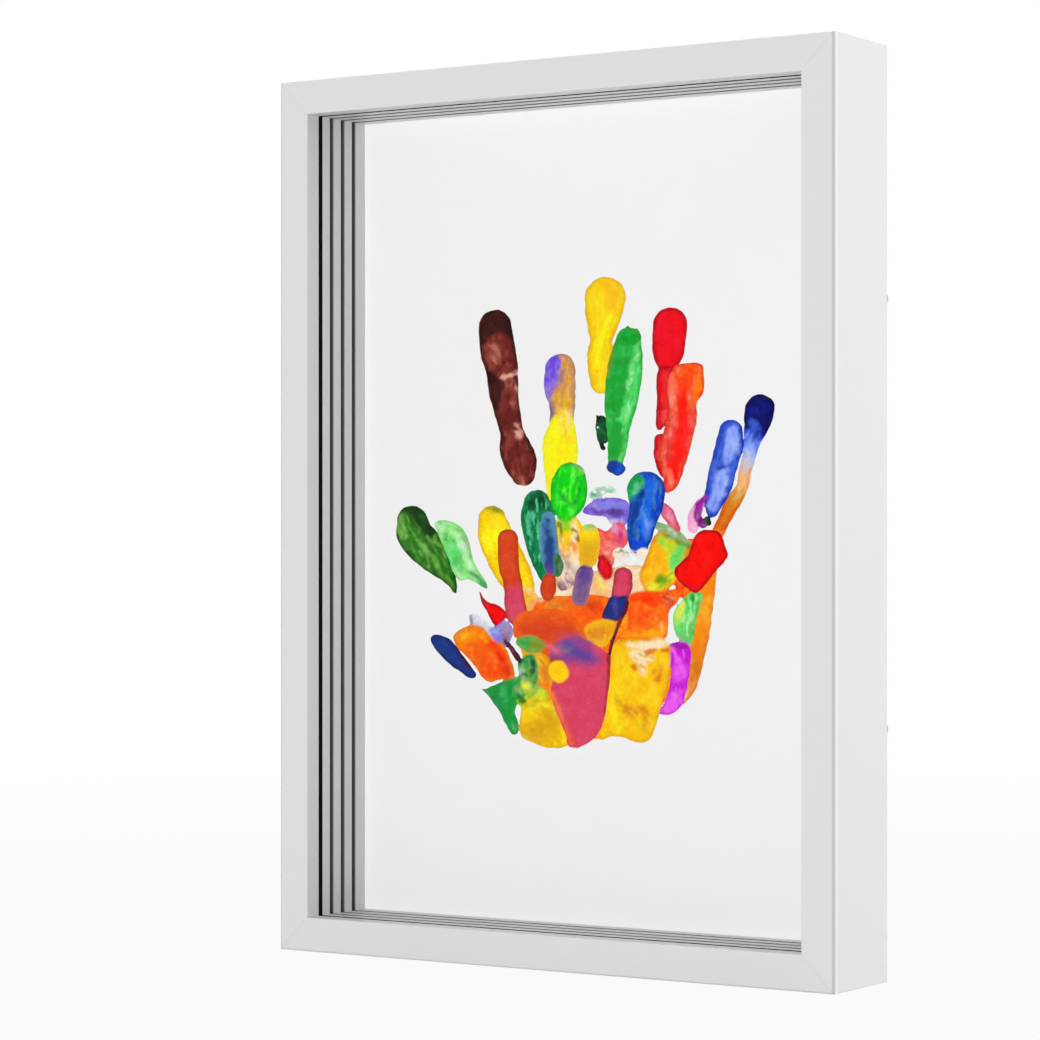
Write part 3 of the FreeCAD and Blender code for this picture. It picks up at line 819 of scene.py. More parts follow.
# %% Large print, on sheet 3
LARGE = {
    "index_finger": dab("tan tan ochre gold", (
        (560, 369, 15), (560, 386, 15.5), (562, 403, 13), (562, 419, 12)), fleck="peach", rim="mauve"),
    "index_side": tint("violet violet iris mauve purple", (
        (553, 365, 10), (551, 378, 8), (548, 391, 6), (550, 403, 4.5), (551, 414, 4)), soft=1.2,
        fleck="lilac"),
    "index_blush": tint("mauve", ((563, 372, 3), (560, 382, 4)), soft=1.6, fleck="peach"),
    "index_base": dab("lemon", (
        (562, 428, 13), (560, 442, 17), (560, 458, 17), (559, 474, 14), (557, 488, 10.5), (556, 500, 8)),
        fleck="gold", rim="citron", flecks=0.35),
    "index_join": tint("gold", ((564, 416, 8), (566, 428, 7), (570, 440, 5)), soft=2.5, fleck="cream"),
    "middle_finger": dab("apple", (
        (629, 340, 12.5), (627, 352, 15), (625, 367, 17), (623, 385, 17), (621, 402, 16), (619, 418, 13),
        (618, 435, 10.5), (617, 450, 9), (616, 460, 8)), fleck="pale_mint", rim="leaf"),
    "middle_tip": dab("leaf", (
        (621, 338), (624, 329), (628, 325), (632, 330), (637, 329), (641, 338), (632, 345)), rim="moss"),
    "middle_core": tint("leaf", (
        (627, 338, 10), (621, 352, 12.5), (618, 368, 12), (616, 385, 11.5), (614, 400, 11), (613, 413, 8)),
        soft=1.2, fleck="emerald"),
    "middle_dark": tint("emerald", ((618, 362, 4), (615, 378, 5), (614, 394, 4)), soft=2.5, fleck="leaf"),
    "middle_pad": tint("leaf", ((614, 427, 8), (616, 440, 8.5), (615, 454, 7)), soft=1.0, fleck="emerald"),
    "middle_seam": tint("olive", ((613, 342, 2.5), (609, 358, 3), (607, 376, 2.5)), soft=0.8),
    "middle_end": dab("marine cobalt", ((613, 467, 6.5), (619, 469, 6.5)), fleck="azure", rim="denim"),
    "ring_finger": dab("vermilion vermilion coral coral scarlet", (
        (674, 367), (680, 364), (690, 363), (702, 365), (704, 378), (704, 391), (700, 398), (697, 405),
        (697, 417), (694, 432), (690, 448), (686, 463), (681, 477), (675, 489), (667, 493), (662, 486),
        (664, 478), (660, 466), (659, 450), (663, 435), (667, 420), (669, 405), (667, 392), (669, 378)),
        fleck="salmon", rim="brick", flecks=0.8),
    "ring_light": tint("salmon", ((672, 376, 3.5), (672, 391, 5), (671, 404, 4)), soft=1.2, fleck="rose"),
    "ring_core": tint("vermilion scarlet scarlet scarlet", (
        (688, 368, 7), (684, 388, 6.5), (683, 408, 7), (682, 430, 8), (679, 450, 8), (675, 470, 7)),
        soft=1.6),
    "ring_right": tint("orange tangerine", ((698, 376, 4), (697, 390, 4.5), (694, 402, 3)), soft=1.5),
    "ring_foot": tint("salmon", ((669, 474, 4), (671, 482, 4)), soft=1.2),
    "blush_smear": dab("blush", ((700, 503, 4), (695, 515, 6), (693, 528, 5)), bare=0.1),
    "little_finger": dab("azure", (
        (731, 432, 12), (729, 447, 13.5), (725, 462, 13), (721, 477, 13), (718, 490, 12), (714, 502, 9),
        (712, 511, 6)), fleck="royal", rim="royal"),
    "little_pads": tint("ice", (
        (733, 431, 5.5), (732, 445, 7), (729, 458, 5), (726, 466, 2.5), (724, 474, 6), (721, 484, 7),
        (717, 496, 6), (712, 507, 4.5)), soft=1.0, fleck="azure", flecks=0.35),
    "little_waist": tint("azure royal", ((735, 463, 1.6), (727, 466, 1.8), (719, 468, 1.4)), soft=0.8),
    "magenta_smear": dab("magenta plum", (
        (705, 497, 2.2), (699, 506, 3.2), (698, 516, 3.6), (703, 525, 3.6)), fleck="blush", rim="plum"),
    "pine_spot": dab("pine", ((707, 519, 2.5), (709, 523, 2.5)), fleck="sage"),
    "thumb": dab("pale_mint", (
        (435, 523), (446, 520), (458, 525), (466, 533), (470, 546), (473, 560), (479, 572), (486, 582),
        (487, 589), (478, 584), (469, 579), (460, 580), (453, 572), (449, 560), (443, 546), (438, 534)),
        fleck="chalk", rim="mint"),
    "thumb_core": tint("mint apple mint", (
        (446, 534, 5), (452, 548, 8), (457, 561, 8.5), (465, 572, 5)), soft=1.5, fleck="jade", flecks=0.5),
    "thumb_top": tint("mint", (
        (440, 524, 1.5), (450, 527, 2), (462, 530, 1.6)), soft=0.8, fleck="pale_mint"),
    "thumb_side": tint("sage", ((463, 532, 2), (468, 543, 2.4), (471, 556, 2)), soft=0.8),
    "thumb_end": tint("jade", ((472, 573, 2.5), (479, 579, 4), (487, 588, 3.5)), soft=1.0, fleck="fern"),
    "orange_under": dab("tangerine vermilion", (
        (691, 545, 6), (684, 562, 8), (683, 580, 9), (688, 592, 8)), fleck="orange", flecks=0.8),
    "palm_base": dab("amber cream", (
        (545, 640), (552, 600), (566, 580), (600, 572), (640, 580), (662, 596), (658, 650), (640, 690),
        (600, 725), (560, 715)), fleck="orange"),
    "cream_ground": dab("cream peach cream", (
        (554, 588), (566, 578), (580, 574), (600, 570), (622, 566), (640, 566), (648, 582), (662, 594),
        (650, 608), (600, 608), (560, 608)), fleck="peach", rim="peach"),
    "mist": dab("seafoam", (
        (588, 496), (596, 488), (608, 485), (616, 490), (610, 498), (600, 501)), fleck="mist", rim="mist",
        bare=0.3),
    "mist_spots": tint("jade", ((593, 494, 2.5), (600, 491, 2)), soft=1.2, fleck="mist"),
    "violet_mount": dab("iris", (
        (583, 512), (588, 504), (598, 499), (612, 498), (625, 500), (630, 508), (629, 520), (621, 529),
        (612, 525), (606, 517), (598, 516), (590, 515)), fleck="lilac", rim="iris", flecks=0.8),
    "violet_top": tint("lilac", ((597, 504, 2.5), (611, 504, 3.5), (624, 506, 3)), soft=1.0, fleck="ice"),
    "violet_spots": tint("purple", (
        (592, 509, 2.6), (598, 512, 2.6), (608, 512, 3), (617, 513, 5)), soft=1.0),
    "violet_fade": tint("frost", ((612, 523, 3.5), (620, 525, 4.5)), soft=1.0),
    "crimson_mount": dab("coral rose", (
        (596, 528), (606, 531), (613, 526), (620, 522), (626, 529), (627, 542), (621, 550), (615, 556),
        (613, 566), (606, 562), (597, 556), (595, 540)), fleck="salmon", rim="coral", flecks=0.8),
    "crimson_side": tint("raspberry", (
        (616, 529, 5), (621, 535, 5), (619, 542, 3)), soft=1.2, fleck="blush"),
    "crimson_fade": tint("salmon", ((603, 552, 3), (609, 557, 5), (612, 566, 3)), soft=1.2, fleck="cream"),
    "red_mount": dab("cherry", (
        (602, 559, 4), (605, 568, 7), (607, 575, 4.5)), fleck="crimson", rim="garnet"),
    "cream_gap": tint("lemon", ((599, 580, 4), (604, 587, 5)), soft=2.5, fleck="cream", flecks=0.9),
    "olive_mount": dab("amber amber ochre", (
        (640, 574), (645, 561), (650, 547), (655, 535), (663, 531), (674, 534), (686, 541), (690, 547),
        (687, 560), (681, 573), (673, 584), (664, 592), (652, 596), (644, 588)), fleck="gold",
        rim="caramel"),
    "olive_lime": tint("lime citron", (
        (661, 540, 5), (668, 545, 6), (672, 556, 6), (674, 568, 6)), soft=1.5, fleck="lemon"),
    "olive_green": tint("apple", ((681, 547, 6), (677, 557, 6.5), (674, 566, 4)), soft=1.2, fleck="lime"),
    "olive_low": tint("citron", ((652, 588, 5), (664, 584, 6), (672, 574, 5)), soft=1.5, fleck="olive"),
    "olive_drop": tint("grass", ((661, 580, 6), (665, 581, 6)), soft=1.4),
    "olive_streak": dab("sage", (
        (655, 524, 3), (664, 529, 5), (676, 535, 5), (688, 544, 2.5)), fleck="chalk", rim="sage",
        flecks=0.8, bare=0.14),
    "olive_line": tint("olive", (
        (664, 534, 1.6), (675, 539, 2.4), (688, 546, 2.4)), soft=0.8, fleck="moss"),
    "rose_wedge": dab("rose", (
        (664, 507, 4), (668, 514, 6), (674, 523, 4), (678, 529, 2)), fleck="blush", rim="crimson"),
    "orange_band": dab("vermilion vermilion tangerine orange", (
        (632, 594), (645, 591), (660, 592), (672, 589), (682, 592), (677, 602), (669, 612), (668, 625),
        (666, 637), (650, 642), (634, 642), (622, 642), (616, 634), (621, 618), (626, 602)), fleck="orange",
        rim="vermilion"),
    "orange_deep": tint("scarlet", (
        (632, 600, 5), (650, 600, 7), (664, 600, 5)), soft=3.0, fleck="vermilion", flecks=0.7),
    "orange_low": tint("orange amber", (
        (622, 634, 5), (640, 635, 6), (660, 632, 6)), soft=2.5, fleck="amber"),
    "orange_pale": tint("tangerine orange", (
        (666, 610, 2.5), (664, 622, 3), (663, 634, 3)), soft=1.5, fleck="cream"),
    "orange_specks": tint("brick", (
        (665, 596, 3), (669, 603, 3.5), (674, 600, 2)), soft=0.6, fleck="peach", flecks=1.0),
    "green_strip": dab("leaf apple mint apple leaf", (
        (690, 594), (698, 591), (703, 596), (700, 607), (697, 620), (694, 635), (690, 646), (683, 642),
        (677, 636), (673, 622), (675, 609), (682, 601)), fleck="pale_mint", rim="apple", flecks=0.9),
    "green_yellow": tint("citron", ((682, 604, 3.5), (678, 614, 4)), soft=1.0, fleck="cream"),
    "green_line": tint("fern", (
        (699, 597, 2), (697, 610, 2.6), (694, 625, 2.8), (690, 640, 2.4)), soft=0.8, fleck="leaf"),
    "green_chalk": tint("citron mint", (
        (681, 609, 2.2), (677, 621, 2.4), (679, 632, 2)), soft=1.0, fleck="mint"),
    "green_foot": tint("sage", ((681, 636, 3), (683, 642, 3)), soft=1.2, fleck="frost", flecks=0.9),
    "magenta_edge": dab("magenta magenta orchid magenta orchid orchid", (
        (672, 643), (682, 642), (688, 645), (691, 655), (690, 668), (688, 680), (686, 692), (683, 703),
        (677, 710), (668, 715), (660, 713), (664, 704), (668, 692), (670, 680), (671, 668), (669, 656),
        (666, 645)), fleck="orchid", rim="magenta", flecks=1.0),
    "magenta_top": tint("plum", (
        (670, 645, 1.8), (678, 646, 2.4), (686, 648, 1.8)), soft=1.4, fleck="magenta"),
    "yellow_heel": dab("sunflower", (
        (608, 645), (625, 640), (648, 640), (666, 640), (670, 655), (669, 675), (666, 690), (661, 705),
        (658, 718), (654, 731), (648, 741), (638, 743), (625, 738), (612, 736), (600, 739), (595, 720),
        (600, 690), (604, 665)), fleck="gold", rim="ochre", flecks=0.6),
    "heel_light": tint("gold lemon", (
        (620, 672, 7), (618, 690, 7), (614, 712, 6), (618, 728, 6)), soft=3.0),
    "heel_swirl": tint("ochre caramel ochre", (
        (616, 696, 3), (622, 708, 5), (632, 714, 5.5), (641, 709, 5), (647, 716, 4), (645, 729, 4)),
        soft=1.8, fleck="gold", flecks=0.8),
    "heel_warm": tint("amber caramel", (
        (655, 666, 3.5), (661, 668, 4), (658, 679, 4)), soft=1.8, fleck="caramel", flecks=1.0),
    "heel_dark": tint("caramel", (
        (620, 702, 2.5), (628, 709, 3.5), (638, 709, 3), (644, 717, 3.5)), soft=2.0, fleck="ochre",
        flecks=0.7),
    "heel_cream": tint("cream", ((630, 645, 3), (648, 646, 4.5), (667, 643, 4)), soft=0.8),
    "heel_vee": tint("cream", (
        (628, 651), (640, 650), (652, 653), (656, 660), (649, 664), (644, 675), (637, 669), (632, 660)),
        soft=1.4, fleck="ochre", flecks=0.9),
    "heel_line": tint("caramel", ((647, 652, 1.3), (656, 650.5, 1.6), (668, 650, 1.4)), soft=0.4),
    "heel_spots": tint("caramel", ((634, 667, 1.8), (635, 668, 1.8)), soft=0.5),
    "heel_spot": tint("caramel", ((655, 671, 2.5), (658, 670, 2)), soft=0.6),
}
print("large print:", len(LARGE), "marks")

# %% [markdown]
# The next hand is a child's: one yellow finger, two green ones, a blue one and a red one. Yellow and
# mauve paint runs down from the middle finger, and the left of the palm goes over from orange through
# yellow to green. Only that side of the palm is in sight, so only it has small marks.

# %% Small print, on sheet 2
SMALL = {
    "index_finger": dab("gold lemon gold gold gold", (
        (492, 520, 14), (496, 537, 17.5), (504, 555, 18), (513, 572, 17.5), (523, 587, 12)), fleck="lemon",
        rim="ochre", flecks=0.3),
    "index_tip": tint("olive", ((488, 508, 4), (497, 509, 5), (503, 513, 3)), soft=2.0),
    "second_finger": dab("pine bottle bottle bottle bottle", (
        (537, 503, 13), (538, 518, 17), (541, 538, 16.5), (545, 558, 14), (547, 574, 9)), fleck="seafoam",
        rim="bottle", flecks=1.0),
    "yellow_gap": dab("citron gold amber cream mauve", (
        (558, 516), (568, 512), (577, 518), (583, 530), (582, 548), (582, 566), (577, 580), (570, 588),
        (560, 590), (556, 578), (560, 560), (558, 540)), fleck="cream", flecks=0.8),
    "gap_line": tint("olive moss sage", ((560, 524, 1.8), (561, 532, 2), (561, 541, 1.6)), soft=0.6),
    "gap_specks": tint("umber", (
        (573, 530, 0.8), (577, 532, 0.5), (579, 541, 1.0)), soft=0.4, strength=0.8),
    "gap_spots": tint("caramel", (
        (571, 541, 0.9), (575, 548, 1.2), (568, 556, 0.8)), soft=0.6, strength=0.7),
    "gap_mauve": tint("mauve", (
        (560, 552, 5), (567, 562, 5.5), (572, 572, 4)), soft=2.5, fleck="cream", flecks=0.8, strength=0.8),
    "gap_foot": tint("cream", ((576, 586, 3), (568, 590, 3)), soft=1.2, fleck="peach"),
    "gap_magenta": tint("magenta plum", (
        (566, 573, 1.6), (567, 581, 2), (573, 583, 1.8)), soft=0.6, fleck="blush", flecks=1.0),
    "middle_finger": dab("spring", (
        (570, 478, 15.5), (569, 490, 18.5), (568, 502, 16), (566, 512, 9.5)), fleck="neon", rim="leaf",
        flecks=0.8),
    "middle_cap": tint("jade fern", (
        (566, 463, 2.4), (574, 464, 2.8), (583, 471, 2.4)), soft=1.0, fleck="neon"),
    "middle_core": tint("leaf", (
        (562, 476, 2.5), (558, 490, 3), (566, 500, 3), (574, 508, 2.5)), soft=1.0, fleck="neon"),
    "middle_fold": tint("leaf", ((577, 478, 2), (579, 490, 2.4), (575, 502, 2)), soft=0.9),
    "middle_drip": tint("spring lime", ((563, 513, 4), (567, 521, 6), (568, 528, 5)), soft=1.5),
    "ring_finger": dab("cobalt", (
        (646, 490, 18.5), (646, 504, 17), (643, 518, 14.5), (640, 532, 13), (639, 545, 9.5)),
        fleck="steel_blue", rim="marine", flecks=0.7),
    "ring_bright": tint("sky", (
        (651, 486, 5), (649, 500, 5.5), (645, 514, 5.5), (645, 527, 4.5), (646, 538, 4)), soft=1.5,
        fleck="azure"),
    "ring_dark": tint("marine", ((642, 492, 4), (636, 506, 4.5), (633, 520, 4), (633, 534, 3.5)), soft=1.2),
    "ring_side": tint("emerald leaf", (
        (636, 481, 9), (631, 492, 7), (630, 500, 3)), soft=1.0, fleck="apple"),
    "ring_shine": tint("seafoam", ((637, 486, 3), (634, 493, 2)), soft=1.0, fleck="leaf"),
    "ring_glint": tint("sky", ((650, 478, 1.6), (652, 483, 1.6)), soft=0.8, fleck="ice", flecks=0.8),
    "ring_spots": tint("azure ice azure", (
        (640, 507, 2.2), (644, 515, 1.2), (648, 524, 2.6), (645, 537, 2)), soft=1.2, fleck="sky",
        flecks=0.6, strength=0.75),
    "ring_specks": dab("cream chalk cream", (
        (619, 554, 6), (627, 557, 8), (637, 558, 6), (643, 552, 4)), fleck="mauve", rim="chalk", flecks=0.5,
        bare=0.06),
    "speck_dark": tint("umber", (
        (622, 551, 0.9), (628, 553, 0.8), (634, 551, 0.6)), soft=0.4, strength=0.7),
    "little_finger": dab("scarlet", (
        (691, 547), (696, 534), (706, 530), (717, 531), (723, 538), (725, 546), (728, 555), (725, 561),
        (718, 568), (711, 578), (703, 587), (696, 593), (688, 589), (681, 583), (675, 576), (675, 569),
        (681, 562), (688, 556)), rim="garnet"),
    "palm_base": dab("vermilion tangerine tangerine orange", (
        (526, 613), (532, 600), (546, 597), (566, 596), (588, 594), (606, 597), (626, 604), (628, 625),
        (616, 642), (604, 660), (603, 690), (594, 725), (570, 738), (548, 716), (540, 690), (536, 650)),
        fleck="vermilion", rim="tangerine"),
    "cream_corner": dab("gold amber amber", (
        (523, 588), (531, 590), (538, 597), (534, 606), (528, 616), (522, 612)), fleck="tan", rim="peach"),
    "peach_edge": tint("tan peach", (
        (528, 613, 4), (533, 602, 4), (545, 599, 2.5)), soft=1.2, fleck="ochre"),
    "orange_arch": tint("tangerine caramel tangerine", (
        (540, 608, 8), (556, 607, 10), (572, 606, 8)), soft=3.0, fleck="tan", flecks=0.3),
    "red_arch": tint("brick vermilion", (
        (588, 606, 7), (597, 608, 10), (603, 616, 7)), soft=3.0, fleck="vermilion"),
    "warm_side": tint("tangerine", (
        (572, 614, 4), (582, 622, 6), (588, 634, 5)), soft=3.0, fleck="orange", flecks=0.5),
    "yellow_side": dab("ochre caramel ochre", (
        (523, 653), (534, 648), (546, 648), (560, 655), (562, 680), (556, 712), (545, 714), (534, 702),
        (528, 680)), fleck="gold", rim="ochre"),
    "orange_side": tint("tangerine caramel", (
        (546, 684, 5), (551, 697, 7), (553, 710, 6)), soft=2.0, fleck="orange"),
    "green_tail": dab("jade jade emerald", (
        (478, 685), (484, 689), (492, 686), (501, 682), (512, 679), (522, 676), (530, 684), (528, 698),
        (518, 703), (515, 712), (518, 723), (518, 732), (512, 734), (505, 723), (498, 709), (488, 696)),
        fleck="emerald", rim="jade"),
    "green_shade": tint("jade", ((517, 700, 2.5), (514, 714, 3), (515, 730, 3)), soft=1.5, fleck="sage"),
    "lime_patch": dab("lime citron", (
        (518, 690), (530, 686), (544, 690), (546, 702), (536, 708), (524, 708), (518, 703)), fleck="gold",
        rim="lime"),
    "green_edge": dab("jade fern jade", (
        (518, 664), (524, 657), (533, 655), (538, 667), (537, 681), (530, 692), (521, 698), (514, 696),
        (512, 688), (519, 680)), fleck="sage", rim="jade", flecks=1.0),
    "green_marks": tint("pine", (
        (533, 662, 1.8), (534, 670, 1.8), (530, 677, 1.5), (523, 674, 2)), soft=0.9),
    "green_pale": tint("fern sage", ((516, 676, 2.5), (520, 671, 2)), soft=1.0),
    "green_lime": tint("citron fern", (
        (526, 686, 6), (531, 694, 6), (538, 688, 4)), soft=2.2, fleck="olive", flecks=0.4),
    "green_knot": tint("moss", ((519, 698, 2.5), (525, 702, 2.5)), soft=0.7, fleck="emerald"),
    "lower_yellow": dab("gold ochre gold", (
        (523, 705), (536, 700), (552, 702), (566, 716), (576, 735), (570, 744), (560, 748), (545, 747),
        (535, 743), (526, 740), (520, 733), (520, 718)), fleck="ochre", rim="ochre"),
    "lower_join": tint("citron lemon", (
        (525, 711, 3), (537, 705, 4), (550, 706, 4), (560, 714, 3)), soft=3.0),
    "lower_light": tint("lemon", ((532, 713, 3), (545, 719, 3)), soft=2.5, strength=0.6),
    "lower_olive": tint("olive ochre", (
        (527, 706, 2.5), (536, 702, 3.5), (541, 694, 3.5)), soft=2.2, fleck="gold", strength=0.7),
    "red_wedge": dab("scarlet", (
        (479, 590), (483, 597), (488, 602), (497, 605), (506, 611), (515, 619), (518, 625), (511, 622),
        (505, 618), (501, 625), (497, 627), (492, 622), (488, 613), (482, 604)), rim="garnet",
        fleck="cherry"),
    "lilac_mist": dab("frost", (
        (469, 616), (475, 614), (484, 620), (494, 627), (498, 640), (490, 640), (482, 632), (472, 627)),
        fleck="chalk", rim="chalk"),
    "lilac_spike": dab("frost", ((471, 616, 1), (472, 623, 1.2)), fleck="mauve", rim="heather", flecks=0.5),
    "lilac_rub": dab("ice lilac mauve mauve", (
        (490, 630), (497, 626), (505, 621), (511, 625), (513, 634), (509, 643), (503, 648), (496, 643)),
        fleck="frost", rim="lilac"),
    "thumb": dab("orange tangerine vermilion vermilion", (
        (453, 636), (458, 631), (466, 627), (472, 625), (483, 628), (491, 637), (493, 643), (500, 643),
        (507, 650), (511, 661), (515, 673), (512, 678), (501, 679), (491, 682), (482, 677), (473, 664),
        (463, 653), (456, 646)), fleck="tangerine", rim="caramel"),
    "thumb_warm": tint("amber orange amber", ((464, 637, 7), (478, 634, 8), (486, 640, 5)), soft=3.0),
    "thumb_red": tint("scarlet brick", (
        (493, 642, 2.6), (499, 654, 4), (506, 666, 4.5), (508, 677, 3.5)), soft=1.6, fleck="tangerine"),
    "thumb_brown": tint("tan", ((457, 633, 2), (458, 638, 1.6)), soft=1.2),
    "maroon_sliver": dab("wine maroon wine", (
        (505, 641, 1.2), (511, 648, 2.4), (516, 655, 3), (520, 661, 2)), fleck="mauve", flecks=0.4),
}
print("small print:", len(SMALL), "marks")

# %% [markdown]
# The smallest hand is on the front sheet and covers the others. A short print like this has two pads
# to a finger, a red arch under the fingers, and a heel that narrows downwards. Its colours are dull,
# mixed on the skin, so its tints are softer than those of the larger hands.

# %% Smallest print, on sheet 1
SMALLEST = {
    "thumb": dab("denim", (
        (431, 640), (434, 635), (441, 635), (449, 639), (455, 645), (461, 653), (467, 661), (472, 668),
        (476, 674), (474, 678), (467, 677), (460, 671), (452, 666), (444, 659), (437, 651)), rim="ink"),
    "thumb_side": tint("wine", ((456, 646, 1.2), (464, 658, 1.5), (470, 667, 1.2)), soft=0.8),
    "thumb_core": tint("marine denim", ((439, 643, 2.5), (449, 651, 4), (459, 663, 3)), soft=1.8),
    "index_finger": dab("brick brick brick brick crimson crimson crimson", (
        (508, 539, 10), (508, 553, 10.5), (509, 567, 10), (512, 580, 9.5), (514, 592, 9.5),
        (515, 604, 10.5), (518, 617, 10)), rim="russet"),
    "second_finger": dab("steel_blue steel_blue steel_blue purple", (
        (548, 518, 6.5), (548, 530, 8.5), (549, 545, 9.5), (550, 558, 8.5), (551, 571, 5.5)),
        rim="steel_blue"),
    "second_core": tint("marine denim denim purple", (
        (548, 521, 3.5), (548, 534, 5.5), (550, 549, 6.5), (549, 562, 5.5), (551, 571, 4)), soft=1.2),
    "second_side": dab("pine", (
        (557, 557, 3.5), (559, 566, 4.5), (558, 574, 3)), fleck="mauve", rim="jade"),
    "second_end": dab("brick", ((549, 580, 6.5), (548, 589, 8), (548, 595, 6)), rim="russet"),
    "middle_finger": dab("gold ochre ochre", ((589, 533, 9.5), (590, 546, 10), (588, 559, 9)), rim="amber"),
    "middle_tip": tint("mint sage", ((584, 527, 5), (592, 528, 5)), soft=1.6, fleck="citron"),
    "middle_second": dab("purple heather heather", (
        (585, 574, 8.5), (582, 587, 8.5), (580, 598, 8)), fleck="purple", rim="mauve", flecks=0.5),
    "middle_cap": tint("ink", ((580, 567, 1.2), (586, 568, 1.4), (592, 569, 1.2)), soft=0.8, fleck="mauve"),
    "little_finger": dab("crimson", ((623, 576, 9), (623, 586, 9.5), (620, 595, 8.5)), rim="maroon"),
    "little_second": dab("denim", (
        (610, 598), (618, 596), (627, 597), (626, 606), (622, 615), (616, 621), (608, 620), (602, 617),
        (605, 608)), fleck="purple", rim="ink"),
    "little_base": dab("ochre caramel ochre", (
        (600, 620), (612, 621), (617, 627), (612, 637), (605, 646), (597, 646), (588, 641), (583, 633),
        (588, 624)), fleck="gold", rim="amber", reach=2.0),
    "arch": dab("brick", (
        (514, 622), (520, 614), (534, 610), (550, 609), (564, 611), (575, 618), (583, 629), (588, 642),
        (592, 655), (570, 656), (548, 656), (524, 640), (514, 636)), rim="tangerine", reach=3.5),
    "arch_orange": tint("tangerine", (
        (518, 616, 2.5), (534, 611, 3.5), (554, 610, 4), (569, 615, 4), (578, 626, 4), (583, 637, 3)),
        soft=3.0),
    "body": dab("purple crimson crimson crimson", (
        (550, 650), (560, 640), (576, 636), (591, 642), (603, 650), (610, 657), (610, 672), (608, 690),
        (607, 704), (605, 716), (601, 728), (594, 738), (585, 745), (575, 748), (568, 745), (566, 735),
        (562, 726), (557, 714), (553, 702), (551, 688), (555, 674), (551, 662)), rim="crimson"),
    "body_join": tint("brick", ((520, 630, 7), (545, 632, 9), (562, 630, 8), (576, 634, 5)), soft=3.5),
    "purple_rub": tint("purple", (
        (558, 640), (572, 636), (588, 642), (600, 650), (606, 662), (598, 670), (580, 671), (566, 664),
        (559, 652)), soft=5.0, strength=1.0),
    "purple_join": tint("purple heather crimson", (
        (558, 636, 4), (572, 634, 5), (588, 641, 5), (600, 650, 4)), soft=3.5, strength=0.7),
    "purple_pale": tint("mauve", ((560, 646, 4), (567, 650, 4)), soft=2.5, strength=0.5),
    "pink_rub": tint("rose", ((546, 645, 4.5), (555, 649, 6.5), (560, 655, 4)), soft=2.5),
    "green_leaf": dab("jade jade olive russet", (
        (516, 641), (522, 637), (532, 636), (541, 640), (546, 646), (540, 652), (528, 652), (519, 647)),
        rim="fern", reach=2.0),
    "leaf_core": tint("emerald", ((522, 641, 2.5), (528, 644, 3.5)), soft=2.0),
    "red_nook": tint("russet", ((548, 658, 3), (553, 661, 4), (558, 660, 3)), soft=1.5),
    "yellow_dot": dab("gold", ((558, 670, 9.5), (559, 673, 9.5)), fleck="amber", rim="amber"),
    "edge_line": dab("wine wine russet wine maroon brick brick brick", (
        (628, 602, 1), (625, 612, 1.6), (620, 621, 1.7), (616, 632, 1.5), (612, 644, 1.8), (609, 658, 1.7),
        (609, 674, 1.2), (607, 694, 0.9), (604, 712, 0.8)), rim="maroon"),
    "left_glow": tint("orange tangerine", (
        (552, 694, 3.5), (559, 711, 4.5), (566, 728, 4.5), (571, 742, 3.5)), soft=2.5, fleck="brick"),
}
print("smallest print:", len(SMALLEST), "marks")

# %% [markdown]
# Paint isn't even. The hand tears its edge, lifts specks off it, and pulls it into streaks and
# wrinkles, and how thickly it lies drifts from place to place. Each of these is one noise with a cell
# of its own. Streaks and wrinkles run along the mark, so theirs is drawn out that way and sways.

# %% Unevenness of a mark
NOISES = {
    "tear": {"cell": 2.4 * MM, "offset": 0, "octaves": 4},
    "sway": {"cell": 5.0 * MM, "offset": 5, "octaves": 2},
    "streak": {"cell": 1.0 * MM, "offset": 10, "octaves": 3},
    "fold": {"cell": 2.4 * MM, "offset": 20, "octaves": 3},
    "lift": {"cell": 1.3 * MM, "offset": 30, "octaves": 4},
    "blotch": {"cell": 3.5 * MM, "offset": 40, "octaves": 4},
    "mottle": {"cell": 1.3 * MM, "offset": 45, "octaves": 3},
}
SWAY_WIDTH, FOLD_SWAY = 1.2 * MM, 3
STREAK_STRETCH, WRINKLE_STRETCH = 3.5, 2.2
WRINKLE_NARROWNESS = 14


def noise_of(kind, x, z, seed):
    """One of the noises above, from 0 to 1, for the mark that has this seed."""
    one = NOISES[kind]
    return fractal(x, z, one["cell"], seed + one["offset"], one["octaves"])


def streaks_and_wrinkles(x, z, axis, seed):
    """Two fields from 0 to 1 that run along a mark's axis.

    Places are measured along the axis and beside it, the first divided by a stretch. A wrinkle is
    a narrow band round the line on which its noise is one half.
    """
    down, beside = x * axis[0] + z * axis[1], x * axis[1] - z * axis[0]
    sway = SWAY_WIDTH * (noise_of("sway", x, z, seed) - 0.5)
    streak = noise_of("streak", beside + sway, down / STREAK_STRETCH, seed)
    fold = noise_of("fold", beside + FOLD_SWAY * sway, down / WRINKLE_STRETCH, seed)
    return streak, rise(1 - abs(fold - 0.5) * WRINKLE_NARROWNESS)


print("noises:", ", ".join(NOISES))

# %% [markdown]
# Raggedness and lifted specks only change how deep a point lies in the mark, so the edge of the film
# stays a smooth line however torn it looks. The height has a rim near the edge, and the fine ridges
# that paint pulls into as the hand lifts.

# %% Depth and height of a mark
EDGE_TEAR, TINT_TEAR, LEAST_TEAR = 0.9 * MM, 2.4 * MM, 0.6
LIFT_LEVEL, LIFT_PER_BARE, LIFT_SLOPE = 0.70, 0.55, 8 * MM
FILM_THICKNESS, FILL_REACH = 0.10 * MM, 1.2 * MM
RIM_HEIGHT, RIM_REACH = 0.06 * MM, 0.45 * MM
RIDGE_HEIGHT = 0.05 * MM


